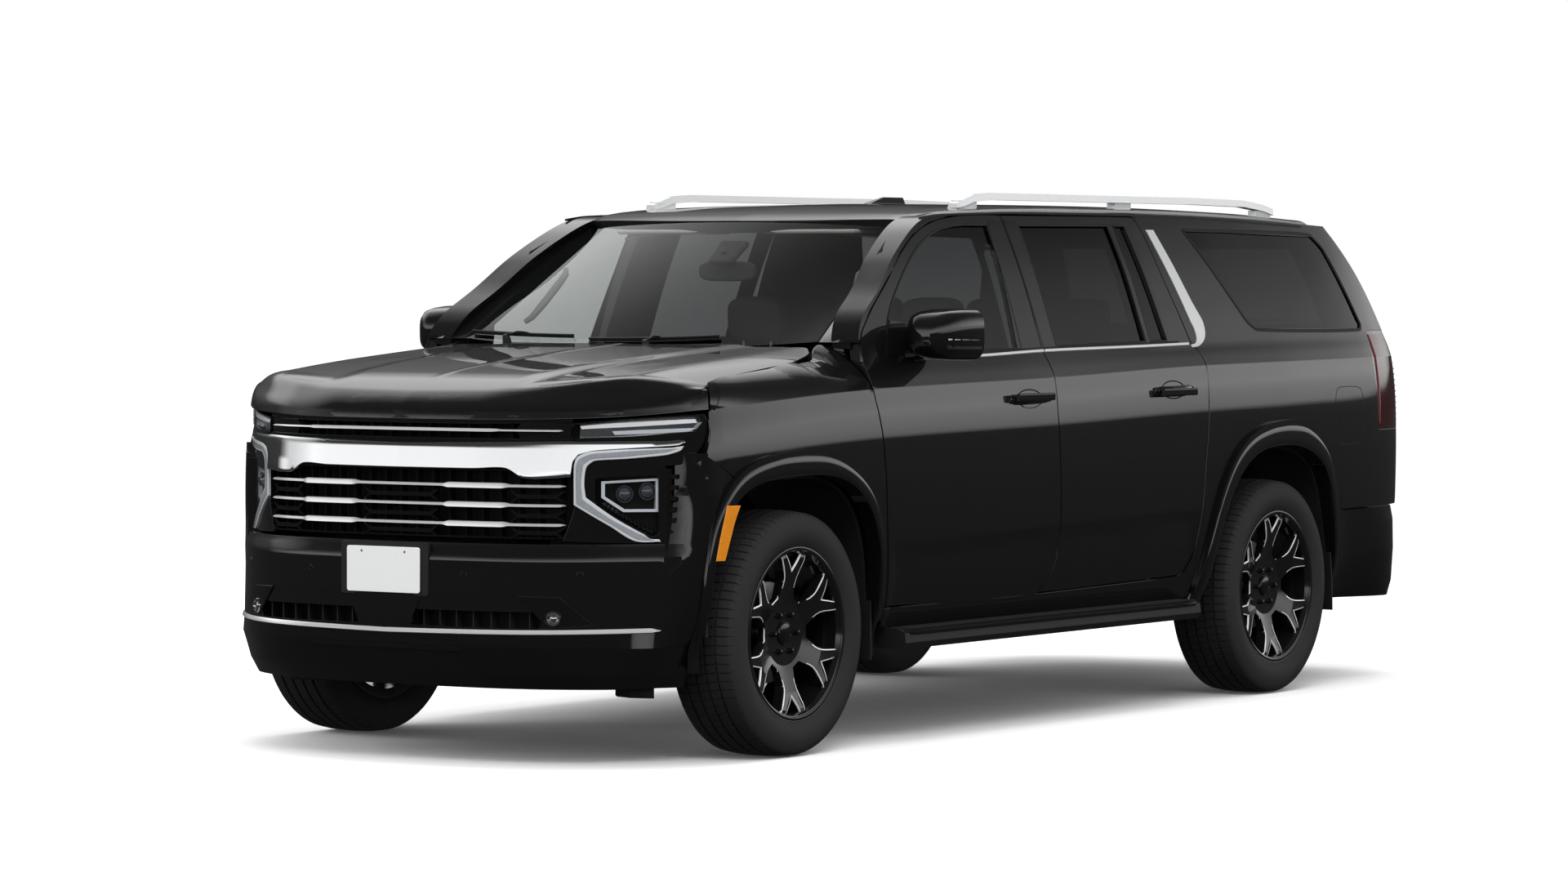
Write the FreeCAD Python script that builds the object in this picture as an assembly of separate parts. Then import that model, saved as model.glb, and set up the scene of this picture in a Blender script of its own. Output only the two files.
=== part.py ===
import FreeCAD, Part
import math
import os

# Long-wheelbase sport utility vehicle, in millimetres.
# +Z is up, the nose points to -Y, and +X is the driver's (left) side.

V = FreeCAD.Vector

# Overall size and stance
LENGTH = 5748.0
WHEELBASE = 3406.0
FRONT_OVERHANG = 989.0
TRACK_FRONT = 1742.0
TRACK_REAR = 1737.0
NOSE_Y = -LENGTH / 2
TAIL_Y = LENGTH / 2
FRONT_AXLE_Y = NOSE_Y + FRONT_OVERHANG
REAR_AXLE_Y = FRONT_AXLE_Y + WHEELBASE

# Wheels and tyres
TYRE_RADIUS = 417.0
TYRE_WIDTH = 275.0
RIM_RADIUS = 296.0
RIM_WIDTH = 246.0
BEAD_RADIUS = 284.0
AXLE_Z = TYRE_RADIUS

# Panel thicknesses and gaps
SHUT_GAP = 6.0
SEAT_GAP = 0.3
DOOR_THICKNESS = 50.0
DOOR_BEHIND = 22.0
SIDE_THICKNESS = 112.0
FENDER_THICKNESS = 38.0
GLASS_THICKNESS = 5.0
FLARE_PROUD = 18.0

# Heights of the body's main lines
SILL_Z = 400.0
DOOR_BOTTOM_Z = 478.0
DOOR_TOP_Z = 1848.0
SKIN_TOP_Z = 1860.0
FLOOR_Z = 590.0
RAIL_TOP_Z = 1930.0

# Joints
HINGE_X = 1008.0
FRONT_HINGE_Y = -1368.0
REAR_HINGE_Y = -215.0
KINGPIN_X = 790.0
HOOD_HINGE = (-1458.0, 1380.0)
GATE_HINGE = (2232.0, 1868.0)
COLUMN_X = 390.0
COLUMN_HUB = (-735.0, 1135.0)
COLUMN_TILT = 24.0


def curve(*knots):
    """Smooth function through (t, value) knots, with no overshoot."""
    count = len(knots)
    steps = [(knots[i + 1][1] - knots[i][1]) / (knots[i + 1][0] - knots[i][0]) for i in range(count - 1)]
    slopes = [steps[0]]
    for i in range(1, count - 1):
        a, b = steps[i - 1], steps[i]
        slopes.append(0.0 if a * b <= 0 else 2 * a * b / (a + b))
    slopes.append(steps[-1])

    def value(t):
        if t <= knots[0][0]:
            return knots[0][1] + slopes[0] * (t - knots[0][0])
        if t >= knots[-1][0]:
            return knots[-1][1] + slopes[-1] * (t - knots[-1][0])
        i = 0
        while t > knots[i + 1][0]:
            i += 1
        h = knots[i + 1][0] - knots[i][0]
        s = (t - knots[i][0]) / h
        a = knots[i][1]
        b = knots[i + 1][1]
        return (
            a * (1 + 2 * s) * (1 - s) ** 2
            + slopes[i] * h * s * (1 - s) ** 2
            + b * s * s * (3 - 2 * s)
            + slopes[i + 1] * h * s * s * (s - 1)
        )

    return value


# Side skin: half width against height, in three bands that meet at the body lines
LOW_BAND = curve((0, 953), (0.04, 970), (0.1, 987), (0.24, 1004), (0.42, 1012), (0.6, 1014), (0.77, 1011), (0.89, 1003), (1, 990))
MID_BAND = curve((0, 990), (0.5, 974), (1, 955))
TOP_BAND = curve((0, 955), (0.3, 905), (0.59, 852), (0.88, 790), (1, 762))
# Plan taper of the side towards the nose and the tail
TAPER = curve(
    (-2600, -135), (-2523, -100), (-2440, -62), (-2360, -38), (-2300, -27), (-2100, -13), (-1885, -6), (-1340, -1),
    (0, 0), (1000, 0), (1521, -3), (2000, -16), (2300, -32), (2500, -54), (2650, -88), (2780, -150),
)
CREASE_Z = curve((-2600, 1160), (-2360, 1182), (-1408, 1234), (-167, 1257), (969, 1286), (2539, 1300))
BELT_Z = curve((-2600, 1225), (-1400, 1331), (-677, 1337), (-169, 1351), (948, 1367), (2600, 1392))
LOW_CREASE_SLOPE = 0.022
SCOOP_DEPTH = 9.0
SCOOP_FADE = curve((-1500, 0), (-1330, 0), (-1250, 1), (800, 1), (890, 0), (1100, 0))


def low_crease_z(y):
    return 723 + LOW_CREASE_SLOPE * y


def side_x(y, z):
    """Half width of the body at (y, z)."""
    crease = CREASE_Z(y)
    belt = BELT_Z(y)
    if z <= crease:
        x = LOW_BAND((z - 395) / (crease - 395))
    elif z <= belt:
        x = MID_BAND((z - crease) / (belt - crease))
    else:
        x = TOP_BAND((z - belt) / (SKIN_TOP_Z - belt))
    below = min(1.0, max(0.0, (low_crease_z(y) - z) / 45))
    return x + TAPER(y) - SCOOP_DEPTH * SCOOP_FADE(y) * below * (2 - below)


def box(x0, x1, y0, y1, z0, z1):
    return Part.makeBox(x1 - x0, y1 - y0, z1 - z0, V(x0, y0, z0))


def line(a, b):
    return Part.makeLine(a, b)


def spline(points):
    bspline = Part.BSplineCurve()
    bspline.interpolate(points)
    return bspline.toShape()


def polygon(points):
    return Part.Wire([line(points[i], points[(i + 1) % len(points)]) for i in range(len(points))])


def prism_x(points, x0, x1):
    """Outline in (y, z) pushed from x0 to x1."""
    face = Part.Face(polygon([V(x0, y, z) for y, z in points]))
    return face.extrude(V(x1 - x0, 0, 0))


def prism_y(points, y0, y1):
    """Outline in (x, z) pushed from y0 to y1."""
    face = Part.Face(polygon([V(x, y0, z) for x, z in points]))
    return face.extrude(V(0, y1 - y0, 0))


def prism_z(points, z0, z1):
    """Outline in (x, y) pushed from z0 to z1."""
    face = Part.Face(polygon([V(x, y, z0) for x, y in points]))
    return face.extrude(V(0, 0, z1 - z0))


def tube(a, b, radius):
    return Part.makeCylinder(radius, (b - a).Length, a, b - a)


def mirror(shape):
    return shape.mirror(V(0, 0, 0), V(1, 0, 0))


def both(shape):
    return Part.makeCompound([shape, mirror(shape)])


def join(shapes):
    """Fuse a list of solids that touch."""
    return shapes[0].fuse(shapes[1:])


def one(shapes):
    """Fuse a list of solids that touch and merge faces that lie in one plane."""
    result = join(shapes) if len(shapes) > 1 else shapes[0]
    return result.removeSplitter()


def solids(*shapes):
    found = []
    for shape in shapes:
        found.extend(shape.Solids)
    return Part.makeCompound(found)


def save(name, shape):
    parts = shape.Solids
    if not parts:
        raise ValueError(name + " has no solid")
    shape = parts[0] if len(parts) == 1 else Part.makeCompound(parts)
    shape.exportStep("parts/" + name + ".step")
    print(name, len(parts), "solids", round(shape.Volume / 1e6, 2), "dm3", "" if shape.isValid() else "NOT VALID")


def offset_outline(points, distance):
    """Move a closed outline outwards by a distance; its points run anticlockwise in (y, z)."""
    count = len(points)
    area = sum(points[i - 1][0] * points[i][1] - points[i][0] * points[i - 1][1] for i in range(count))
    sign = 1.0 if area > 0 else -1.0
    moved = []
    for i in range(count):
        before, here, after = points[i - 1], points[i], points[(i + 1) % count]
        ay, az = here[0] - before[0], here[1] - before[1]
        by, bz = after[0] - here[0], after[1] - here[1]
        la, lb = math.hypot(ay, az), math.hypot(by, bz)
        ny = sign * (az / la + bz / lb)
        nz = -sign * (ay / la + by / lb)
        length = math.hypot(ny, nz)
        ny, nz = ny / length, nz / length
        cosine = sign * (ny * az / la - nz * ay / la)
        moved.append((here[0] + ny * distance / cosine, here[1] + nz * distance / cosine))
    return moved


def skin_section(y, breaks, inset):
    """Edges of the side's section at y between heights, set in by a distance."""
    edges = []
    for low, high in zip(breaks, breaks[1:]):
        points = [V(side_x(y, z) - inset, y, z) for z in [low + (high - low) * k / 4 for k in range(5)]]
        edges.append(spline(points))
    return edges


def side_slab(stations, z_low, z_high, outer, inner):
    """Solid of the side wall between two insets."""
    wires = []
    for y in stations:
        low, high = z_low(y), z_high(y)
        marks = [z for z in (low_crease_z(y), CREASE_Z(y), BELT_Z(y)) if low + 5 < z < high - 5]
        breaks = [low] + marks + [high]
        front = skin_section(y, breaks, outer)
        back = skin_section(y, breaks, inner)
        top = line(V(side_x(y, high) - outer, y, high), V(side_x(y, high) - inner, y, high))
        bottom = line(V(side_x(y, low) - inner, y, low), V(side_x(y, low) - outer, y, low))
        wires.append(Part.Wire(Part.sortEdges(front + [top] + back + [bottom])[0]))
    return Part.makeLoft(wires, True, False)


def side_cutter(outline, hinge_y=None, lean_from=0.0):
    """Prism through the side wall. Edges well behind the hinge lean so that the door swings clear."""
    far_x, near_x = 1100.0, 600.0
    rings = []
    for x in (near_x, far_x):
        ring = []
        for y, z in outline:
            lean = 0.0
            if hinge_y is not None and y > hinge_y + lean_from:
                skin = side_x(y, z)
                lean = max(0.0, (HINGE_X - skin + DOOR_THICKNESS / 2) / (y - hinge_y))
                y = y + lean * (x - skin)
            ring.append(V(x, y, z))
        rings.append(polygon(ring))
    return Part.makeLoft(rings, True, True)


# Door outlines in the side view, (y, z)
FRONT_DOOR_FRONT = [
    (-1318, DOOR_BOTTOM_Z), (-1346, 773), (-1360, 965), (-1375, 1090), (-1406, 1235), (-1417, 1337), (-1401, 1394),
    (-1384, 1424), (-1285, 1504), (-1134, 1602), (-973, 1708), (-858, 1767), (-714, 1814), (-558, 1838),
]
DOOR_SPLIT = [
    (-205, DOOR_TOP_Z), (-205, 1690), (-205, 1520), (-205, 1355), (-182, 1275), (-183, 1131), (-169, 713), (-180, 590),
    (-268, DOOR_BOTTOM_Z),
]
REAR_DOOR_REAR = [
    (745, DOOR_BOTTOM_Z + 16), (789, 505), (834, 560), (881, 718), (910, 927), (942, 1135), (950, 1290), (922, 1352),
    (893, 1380), (862, 1494), (830, 1608), (792, 1803), (775, 1836), (765, DOOR_TOP_Z),
]


def door_outlines():
    front = FRONT_DOOR_FRONT + [(-375, DOOR_TOP_Z)] + DOOR_SPLIT
    rear = DOOR_SPLIT[::-1] + REAR_DOOR_REAR[::-1]
    return front, rear


# Openings of the side frame behind the doors
FRONT_OPENING = [
    (-1240, 560), (-1285, 900), (-1318, 1250), (-1296, 1372), (-1240, 1450), (-1160, 1530), (-1068, 1606), (-905, 1716),
    (-716, 1795), (-556, 1820), (-285, 1824), (-272, 1360), (-250, 1100), (-245, 720), (-270, 600), (-310, 560),
]
REAR_OPENING = [
    (-140, 1824), (700, 1824), (765, 1430), (835, 1300), (850, 1130), (825, 930), (792, 740), (745, 620), (690, 570),
    (-200, 560), (-120, 640), (-105, 720), (-120, 1130), (-140, 1360),
]
FRONT_WINDOW = [
    (-1236, 1362), (-1210, 1440), (-1150, 1515), (-1061, 1590), (-899, 1700), (-714, 1779), (-557, 1805), (-325, 1810),
    (-352, 1362),
]
REAR_WINDOW = [(-105, 1810), (556, 1814), (552, 1380), (-105, 1368)]
REAR_DOOR_LIGHT = [(592, 1814), (672, 1814), (716, 1382), (585, 1381)]
QUARTER_WINDOW = [(1120, 1800), (2200, 1783), (2255, 1740), (2385, 1432), (2370, 1415), (1440, 1423), (1395, 1445)]

# Wheel arches, (y from the axle, z)
FRONT_ARCH = [
    (-493, 300), (-490, 520), (-474, 690), (-425, 815), (-330, 905), (-177, 945), (0, 952), (177, 945), (330, 893),
    (425, 800), (474, 680), (490, 520), (493, 300),
]
FRONT_FLARE = [
    (-525, 300), (-520, 540), (-505, 720), (-455, 870), (-345, 975), (-180, 1025), (0, 1038), (170, 1024), (310, 974),
    (421, 896), (492, 773), (520, 560), (522, 300),
]
REAR_ARCH = [
    (-600, 300), (-555, 480), (-505, 630), (-449, 748), (-360, 860), (-213, 944), (-46, 968), (104, 964), (219, 941),
    (335, 884), (400, 800), (446, 660), (480, 520), (500, 300),
]
REAR_FLARE = [
    (-665, 300), (-625, 500), (-570, 650), (-504, 794), (-400, 930), (-280, 1010), (-120, 1055), (50, 1066), (210, 1048),
    (350, 976), (440, 870), (500, 680), (525, 500), (535, 300),
]


def arch_wire(points, axle_y, x):
    nodes = [V(x, axle_y + y, z) for y, z in points]
    return Part.Wire([spline(nodes), line(nodes[-1], nodes[0])])


def arch_prism(points, axle_y, x0, x1):
    return Part.Face(arch_wire(points, axle_y, x0)).extrude(V(x1 - x0, 0, 0))


def stations(first, last, *between):
    return [first] + [y for y in between if first < y < last] + [last]


def flare(arch, edge, axle_y, first, last):
    """Raised lip round a wheel arch."""
    slab = side_slab(stations(first, last, axle_y - 250, axle_y, axle_y + 250), lambda y: 420, lambda y: 1110, -FLARE_PROUD, 30)
    ring = arch_prism(edge, axle_y, 850, 1100).cut(arch_prism(arch, axle_y, 840, 1110))
    return slab.common(ring)


# Rear end profile on the centre line and its plan sweep
GATE_PROFILE = curve((700, 2792), (900, 2802), (1100, 2800), (1250, 2776), (1430, 2690), (1650, 2562), (1800, 2440), (1900, 2350))
TAIL_PLAN = curve((0, 0), (400, 8), (700, 34), (800, 52), (900, 90), (960, 150))


def tail_y(x, z):
    return GATE_PROFILE(z) - TAIL_PLAN(abs(x))


ROOF_EDGE_Z = curve((-820, 1798), (-700, 1826), (-600, 1841), (-300, 1856), (0, 1860), (800, 1862), (1600, 1853), (2230, 1832))
ROOF_CROWN_Z = curve((-820, 1819), (-700, 1844), (-600, 1860), (-300, 1884), (0, 1893), (800, 1897), (1600, 1886), (2230, 1864))
ROOF_HALF = curve((-820, 690), (-700, 708), (-600, 728), (-400, 754), (0, 762), (1500, 760), (2230, 742))
ROOF_REAR_Y = GATE_HINGE[0] - SHUT_GAP
PILLAR_BASE = V(765, -1405, 1395)
PILLAR_TOP = V(678, -756, 1794)


def side_top(y):
    """Upper edge of the side wall: the pillar line, then the roof edge."""
    if y < -558:
        return PILLAR_LINE(y) + 12
    return ROOF_EDGE_Z(y) - 2 * SEAT_GAP


PILLAR_LINE = curve(
    (-1417, 1380), (-1384, 1432), (-1285, 1512), (-1134, 1610), (-973, 1716), (-858, 1775), (-714, 1823), (-558, 1848)
)


def hinge_leaves(places):
    """Blocks on the pillar that carry a door, close behind its inner face."""
    slab = side_slab(
        stations(-1400, -60, -1000, -500), lambda y: 560, lambda y: 1100,
        DOOR_THICKNESS + SEAT_GAP, DOOR_THICKNESS + DOOR_BEHIND + 12,
    )
    return [slab.common(box(800, 1100, y0, y1, z - 32, z + 32)) for y0, y1, z in places]


FRONT_LEAVES = ((-1336, -1302, 680), (-1340, -1300, 970))
REAR_LEAVES = ((-158, -126, 700), (-164, -130, 1000))


def a_pillar():
    """Pillar between the windscreen's edge and the door line."""
    rings = []
    for y in (-1408, -1384, -1285, -1134, -973, -858, -714):
        z = PILLAR_LINE(y)
        share = (z - PILLAR_BASE.z) / (PILLAR_TOP.z - PILLAR_BASE.z)
        glass = PILLAR_BASE + (PILLAR_TOP - PILLAR_BASE) * share
        door = V(side_x(y, z) - 14, y + 4, z)
        middle = (glass + door) * 0.5 + V(14, -16, 0)
        rings.append(polygon([door, middle, glass, glass + V(-30, 46, 0), middle + V(-46, 70, 0), door + V(-64, 58, 0)]))
    return Part.makeLoft(rings, True, True)


def gate_pocket():
    """Space that the tailgate leaf and its spoiler take up, with the gap round them."""
    wires = []
    heights = (730, 900, 1100, 1250, 1340, 1430, 1550, 1680, 1810)
    for x in (400, 550, 650, 730, 800, 830):
        outer = [V(x, tail_y(x, z) + 60, z) for z in heights]
        inner = [V(x, tail_y(x, z) - 62, z) for z in heights]
        wires.append(Part.Wire([spline(outer), line(outer[-1], inner[-1]), spline(inner[::-1]), line(inner[0], outer[0])]))
    leaf = Part.makeLoft(wires, True, False)
    front_view = [(liftgate_half_width(z) + 1, z) for z in (720, 1250, 1430, 1812)] + [(380, 1812), (380, 720)]
    leaf = leaf.common(prism_y(front_view, 2000, 3000))
    return [leaf, box(300, 698, ROOF_REAR_Y, 2700, 1782, 1990)]


def body_side(roof_panel):
    """Side frame: pillars, sill, quarter panel and the door and window openings."""
    front, rear = door_outlines()
    spans = stations(-1410, 2700, -1384, -1285, -1134, -973, -858, -714, -558, -300, 0, 500, 1000, 1500, 2000, 2300, 2500, 2620)
    wall = side_slab(spans, lambda y: SILL_Z, side_top, 0, SIDE_THICKNESS)
    fender_zone = [(-1600, 300), (-1318, 300)] + FRONT_DOOR_FRONT[:7] + [(-1600, 1394)]
    skin_spans = stations(-1500, 1100, -1384, -1285, -1134, -973, -858, -714, -558, -300, 0, 500, 900)
    depth = DOOR_THICKNESS + DOOR_BEHIND
    skin = side_slab(skin_spans, lambda y: SILL_Z - 40, lambda y: SKIN_TOP_Z + 30, -40, depth)
    pockets = []
    for outline, hinge, opening in ((front, FRONT_HINGE_Y, FRONT_OPENING), (rear, REAR_HINGE_Y, REAR_OPENING)):
        pocket = side_cutter(offset_outline(outline, SHUT_GAP / 2), hinge, 300).common(skin)
        pockets.append(pocket)
        wall = wall.cut(pocket)
        wall = wall.cut(side_cutter(opening))
    front_skin = side_slab(stations(-1500, -1200, -1384), lambda y: SILL_Z - 40, lambda y: 1500, -40, FENDER_THICKNESS + 3 * SEAT_GAP)
    wall = wall.cut(side_cutter(fender_zone).common(front_skin))
    wall = wall.cut(side_cutter(QUARTER_WINDOW))
    wall = wall.cut(arch_prism(REAR_ARCH, REAR_AXLE_Y, 700, 1100))
    wall = wall.fuse(a_pillar()).cut(pockets[0])
    wall = wall.cut(tail_cutter(0))
    wall = wall.cut(lamp_cutter(SEAT_GAP))
    wall = wall.cut(box(600, 1100, 2000, 2900, 300, BUMPER_SEAM_Z))
    wall = wall.cut([box(700, 1100, -1420, -1386, 300, 1000), box(700, 1100, -1420, -1409 + SEAT_GAP, 1000, 1300)])
    wall = wall.cut(gate_pocket())
    below_roof = roof_panel.copy()
    below_roof.translate(V(0, 0, -SEAT_GAP))
    wall = wall.cut(below_roof).cut(roof_panel)
    lip = flare(REAR_ARCH, REAR_FLARE, REAR_AXLE_Y, 850, 2075)
    lip = lip.cut(box(800, 1100, 2000, 2900, 300, BUMPER_SEAM_Z))
    return join([wall, lip] + hinge_leaves(FRONT_LEAVES + REAR_LEAVES))


BUMPER_SEAM_Z = 700.0
TAIL_LAMP = [(2400, 1290), (2425, 1010), (2900, 1010), (2900, 1405), (2440, 1405)]


def tail_cutter(clearance):
    """Space behind the body side, where the liftgate is."""
    points = []
    for z in (300, 700, 900, 1100, 1250, 1340, 1430, 1550, 1650, 1750, 1950):
        points.append((tail_y(800, z) - clearance, z))
    return prism_x(points + [(3000, 1950), (3000, 300)], 500, 1100)


def lamp_cutter(clearance):
    slab = side_slab(stations(2380, 2790, 2500, 2620, 2700), lambda y: 980, lambda y: 1430, -30, 55 + clearance)
    outline = offset_outline(TAIL_LAMP, clearance)
    return slab.common(prism_x(outline, 500, 1100))


def tail_lamp():
    slab = side_slab(stations(2380, 2790, 2500, 2620, 2700), lambda y: 980, lambda y: 1430, 0, 55)
    lamp = slab.common(prism_x(TAIL_LAMP, 500, 1100))
    return lamp.cut(tail_cutter(SEAT_GAP))


def door(outline, hinge_y, windows):
    """Door leaf with its window cut."""
    spans = stations(-1450, -100, -1384, -1285, -1134, -973, -858, -714, -558, -300) if hinge_y < -1000 else \
        stations(-330, 1000, -100, 200, 600, 800, 900)
    leaf = side_slab(spans, lambda y: SILL_Z, lambda y: SKIN_TOP_Z + 10, 0, DOOR_THICKNESS)
    leaf = leaf.common(side_cutter(offset_outline(outline, -SHUT_GAP / 2), hinge_y, 300))
    for window in windows:
        leaf = leaf.cut(side_cutter(window))
    return leaf


def door_glass(windows):
    panes = []
    for window in windows:
        ys = [y for y, z in window]
        slab = side_slab(
            stations(min(ys) - 20, max(ys) + 20, -900, -600, 0, 300), lambda y: BELT_Z(y) + 3, lambda y: SKIN_TOP_Z,
            8, 8 + GLASS_THICKNESS,
        )
        panes.append(slab.common(side_cutter(offset_outline(window, -SEAT_GAP))))
    return solids(*panes)


def door_handle(y):
    """Pull handle on two short posts."""
    z = 1190
    skin = side_x(y, z)
    bar = box(skin + 22, skin + 36, y - 125, y + 125, z - 14, z + 14)
    bar = bar.makeFillet(6, [e for e in bar.Edges if abs(e.Length - 250) < 1])
    posts = [box(skin - 12, skin + 24, y + side - 16, y + side + 16, z - 10, z + 10) for side in (-100, 100)]
    return [bar] + posts


def mirror_unit():
    """Outside mirror: housing on a foot at the door's front corner."""
    rings = []
    for x, y0, y1, z0, z1 in ((990, -1190, -985, 1352, 1492), (1040, -1200, -975, 1345, 1512), (1120, -1185, -970, 1345, 1514), (1175, -1150, -985, 1370, 1496)):
        cut = 34
        rings.append(polygon([
            V(x, y0 + cut, z0), V(x, y1 - cut / 2, z0), V(x, y1, z0 + cut), V(x, y1, z1 - cut), V(x, y1 - cut / 2, z1),
            V(x, y0 + cut, z1), V(x, y0, z1 - cut), V(x, y0, z0 + cut),
        ]))
    shell = Part.makeLoft(rings, True, True)
    foot = Part.makeLoft([
        polygon([V(x, y0, z0), V(x, y1, z0), V(x, y1, z1), V(x, y0, z1)])
        for x, y0, y1, z0, z1 in ((930, -1225, -1130, 1335, 1357), (1000, -1170, -1070, 1318, 1366))
    ], True, True)
    return one([shell, foot])


# Hood
HOOD_FRONT_Y = curve((0, -2788), (300, -2779), (500, -2745), (640, -2690), (800, -2575), (900, -2460), (960, -2350))
HOOD_FRONT_Z = curve((0, 1148), (400, 1150), (640, 1155), (800, 1164), (960, 1184))
HOOD_CROWN_Z = curve((-2745, 1228), (-2600, 1272), (-2300, 1312), (-1900, 1346), (-1460, 1378))
HOOD_SEAM = [(958, -2362), (918, -2324), (908, -2288), (884, -2100), (853, -1674), (806, -1526), (760, -1466)]
HOOD_THICKNESS = 34.0
# Rear edge of the hood in plan, ahead of the windscreen
HOOD_REAR = [(735, -1470), (400, -1504), (0, -1520)]


def hood_z(x, y):
    beyond = max(0.0, (abs(x) - 700) / 180)
    return HOOD_CROWN_Z(y) - 42 * beyond ** 1.5


def hood_profile(x):
    """Points of the hood's top line at x, from its front edge back."""
    y0, z0 = HOOD_FRONT_Y(abs(x)), HOOD_FRONT_Z(abs(x))
    shift = y0 - HOOD_FRONT_Y(0)
    points = [V(x, y0, z0), V(x, y0 + 10, z0 + 34), V(x, y0 + 34, z0 + 64)]
    for y in (-2700, -2580, -2300, -1980, -1700, -1440):
        y_here = y + shift * (-1440 - y) / 1260.0
        points.append(V(x, y_here, hood_z(x, y_here)))
    return points


def hood():
    wires = []
    for x in (-960, -900, -800, -640, -400, 0, 400, 640, 800, 900, 960):
        top = hood_profile(x)
        bottom = []
        for i, p in enumerate(top):
            share = min(1.0, i / 3.0)
            bottom.append(p + V(0, 26 - 14 * share, -HOOD_THICKNESS * share))
        bottom[-1] = top[-1] + V(0, 0, -HOOD_THICKNESS)
        wires.append(Part.Wire([spline(top), line(top[-1], bottom[-1]), spline(bottom[::-1]), line(bottom[0], top[0])]))
    shell = Part.makeLoft(wires, True, False)
    return shell.common(hood_plan(-SHUT_GAP / 2, 1000))


def hood_plan(clearance, z_low):
    """Prism inside the hood's seam, from one side to the other."""
    side = [(x + clearance, y + clearance / 3) for x, y in HOOD_SEAM]
    left = [(1100 + clearance, -2900), (1100 + clearance, side[0][1])] + side + HOOD_REAR
    return prism_z(left + [(-x, y) for x, y in left[::-1] if x > 0], z_low, 1500)


# Room for the hood's front corner, (x, y)
HOOD_CORNER = [(860, -2440), (964, -2440), (964, -2360), (922, -2321), (906, -2296), (860, -2296)]

# Fender: from the body crease up to the hood's seam
RIDGE = [
    (-2375, 926, 1255), (-2290, 914, 1276), (-2100, 890, 1294), (-1885, 874, 1310), (-1674, 859, 1325), (-1526, 816, 1338),
    (-1462, 778, 1372), (-1400, 776, 1388), (-1300, 776, 1388),
]


def fender():
    wires = []
    for y, rx, rz in RIDGE:
        crease = CREASE_Z(y)
        breaks = [SILL_Z + 30, low_crease_z(y), crease]
        outer = skin_section(y, breaks, 0)
        inner = skin_section(y, breaks, FENDER_THICKNESS)
        cx = side_x(y, crease)
        shoulder = spline([V(cx, y, crease), V(cx * 0.62 + rx * 0.38 + 7, y, crease * 0.45 + rz * 0.55), V(rx, y, rz)])
        t = FENDER_THICKNESS
        under = spline([
            V(cx - t, y, crease), V((cx - t) * 0.62 + (rx - 8) * 0.38, y, crease * 0.45 + (rz - 40) * 0.55 - 12),
            V(rx, y, rz - 44),
        ])
        cap = line(V(rx, y, rz), V(rx, y, rz - 44))
        low = SILL_Z + 30
        foot = line(V(side_x(y, low), y, low), V(side_x(y, low) - t, y, low))
        wires.append(Part.Wire(Part.sortEdges(outer + [shoulder, cap, under] + inner + [foot])[0]))
    panel = Part.makeLoft(wires, True, False)
    panel = panel.cut(prism_z(HOOD_CORNER, 1150, 1450))
    panel = panel.cut(prism_x(NOSE_SEAM, 600, 1200))
    behind = offset_outline([(-1200, 300), (-1318, 300)] + FRONT_DOOR_FRONT[:7] + [(-1200, 1394)], SHUT_GAP / 2)
    panel = panel.cut(side_cutter(behind))
    panel = panel.cut(box(700, 940, -1402, -1200, 1300, 1500))
    panel = panel.cut(arch_prism(FRONT_ARCH, FRONT_AXLE_Y, 700, 1100))
    lip = flare(FRONT_ARCH, FRONT_FLARE, FRONT_AXLE_Y, -2420, -1340).cut(prism_x(NOSE_SEAM, 600, 1200))
    return join([panel, lip])


# Line where the fender ends and the front bumper begins, (y, z)
NOSE_SEAM = [(-2600, 1400), (-2600, 200), (-2139, 200), (-2139, 888), (-2392, 1028), (-2366, 1110), (-2363, 1400)]

BEHIND_NOSE = [(-2392.4, 1027.9), (-2139.3, 887.7), (-2139.3, 200), (-1900, 200), (-1900, 1400), (-2367, 1400)]

# Plan of the nose, (x, y), from the centre line out to the corner
BUMPER_PLAN = [(0, NOSE_Y), (300, -2862), (500, -2824), (640, -2758), (760, -2660), (881, -2516)]
GRILLE_PLAN = [(0, -2800), (300, -2790), (500, -2754), (640, -2690), (760, -2600), (870, -2490)]


# How far the sides of the bumper tuck in below the sill line
TUCK = curve((260, 46), (330, 16), (400, 0), (1100, 0))


def nose_wire(plan, z, back, depth, ends_y):
    """Closed crescent round the nose at height z."""
    half = [V(x - TUCK(z), y + back, z) if x > 800 else V(x, y + back, z) for x, y in plan]
    for y in (-2420, -2300, ends_y):
        half.append(V(side_x(y, max(z, SILL_Z)) - TUCK(z), y, z))
    outer = [V(-p.x, p.y, z) for p in half[:0:-1]] + half
    inner_half = [V(p.x * (1 - depth / 900.0), p.y + depth, z) for p in half[:-1]] + [V(half[-1].x - depth, ends_y, z)]
    inner = [V(-p.x, p.y, z) for p in inner_half[:0:-1]] + inner_half
    return Part.Wire([spline(outer), line(outer[-1], inner[-1]), spline(inner[::-1]), line(inner[0], outer[0])])


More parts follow.
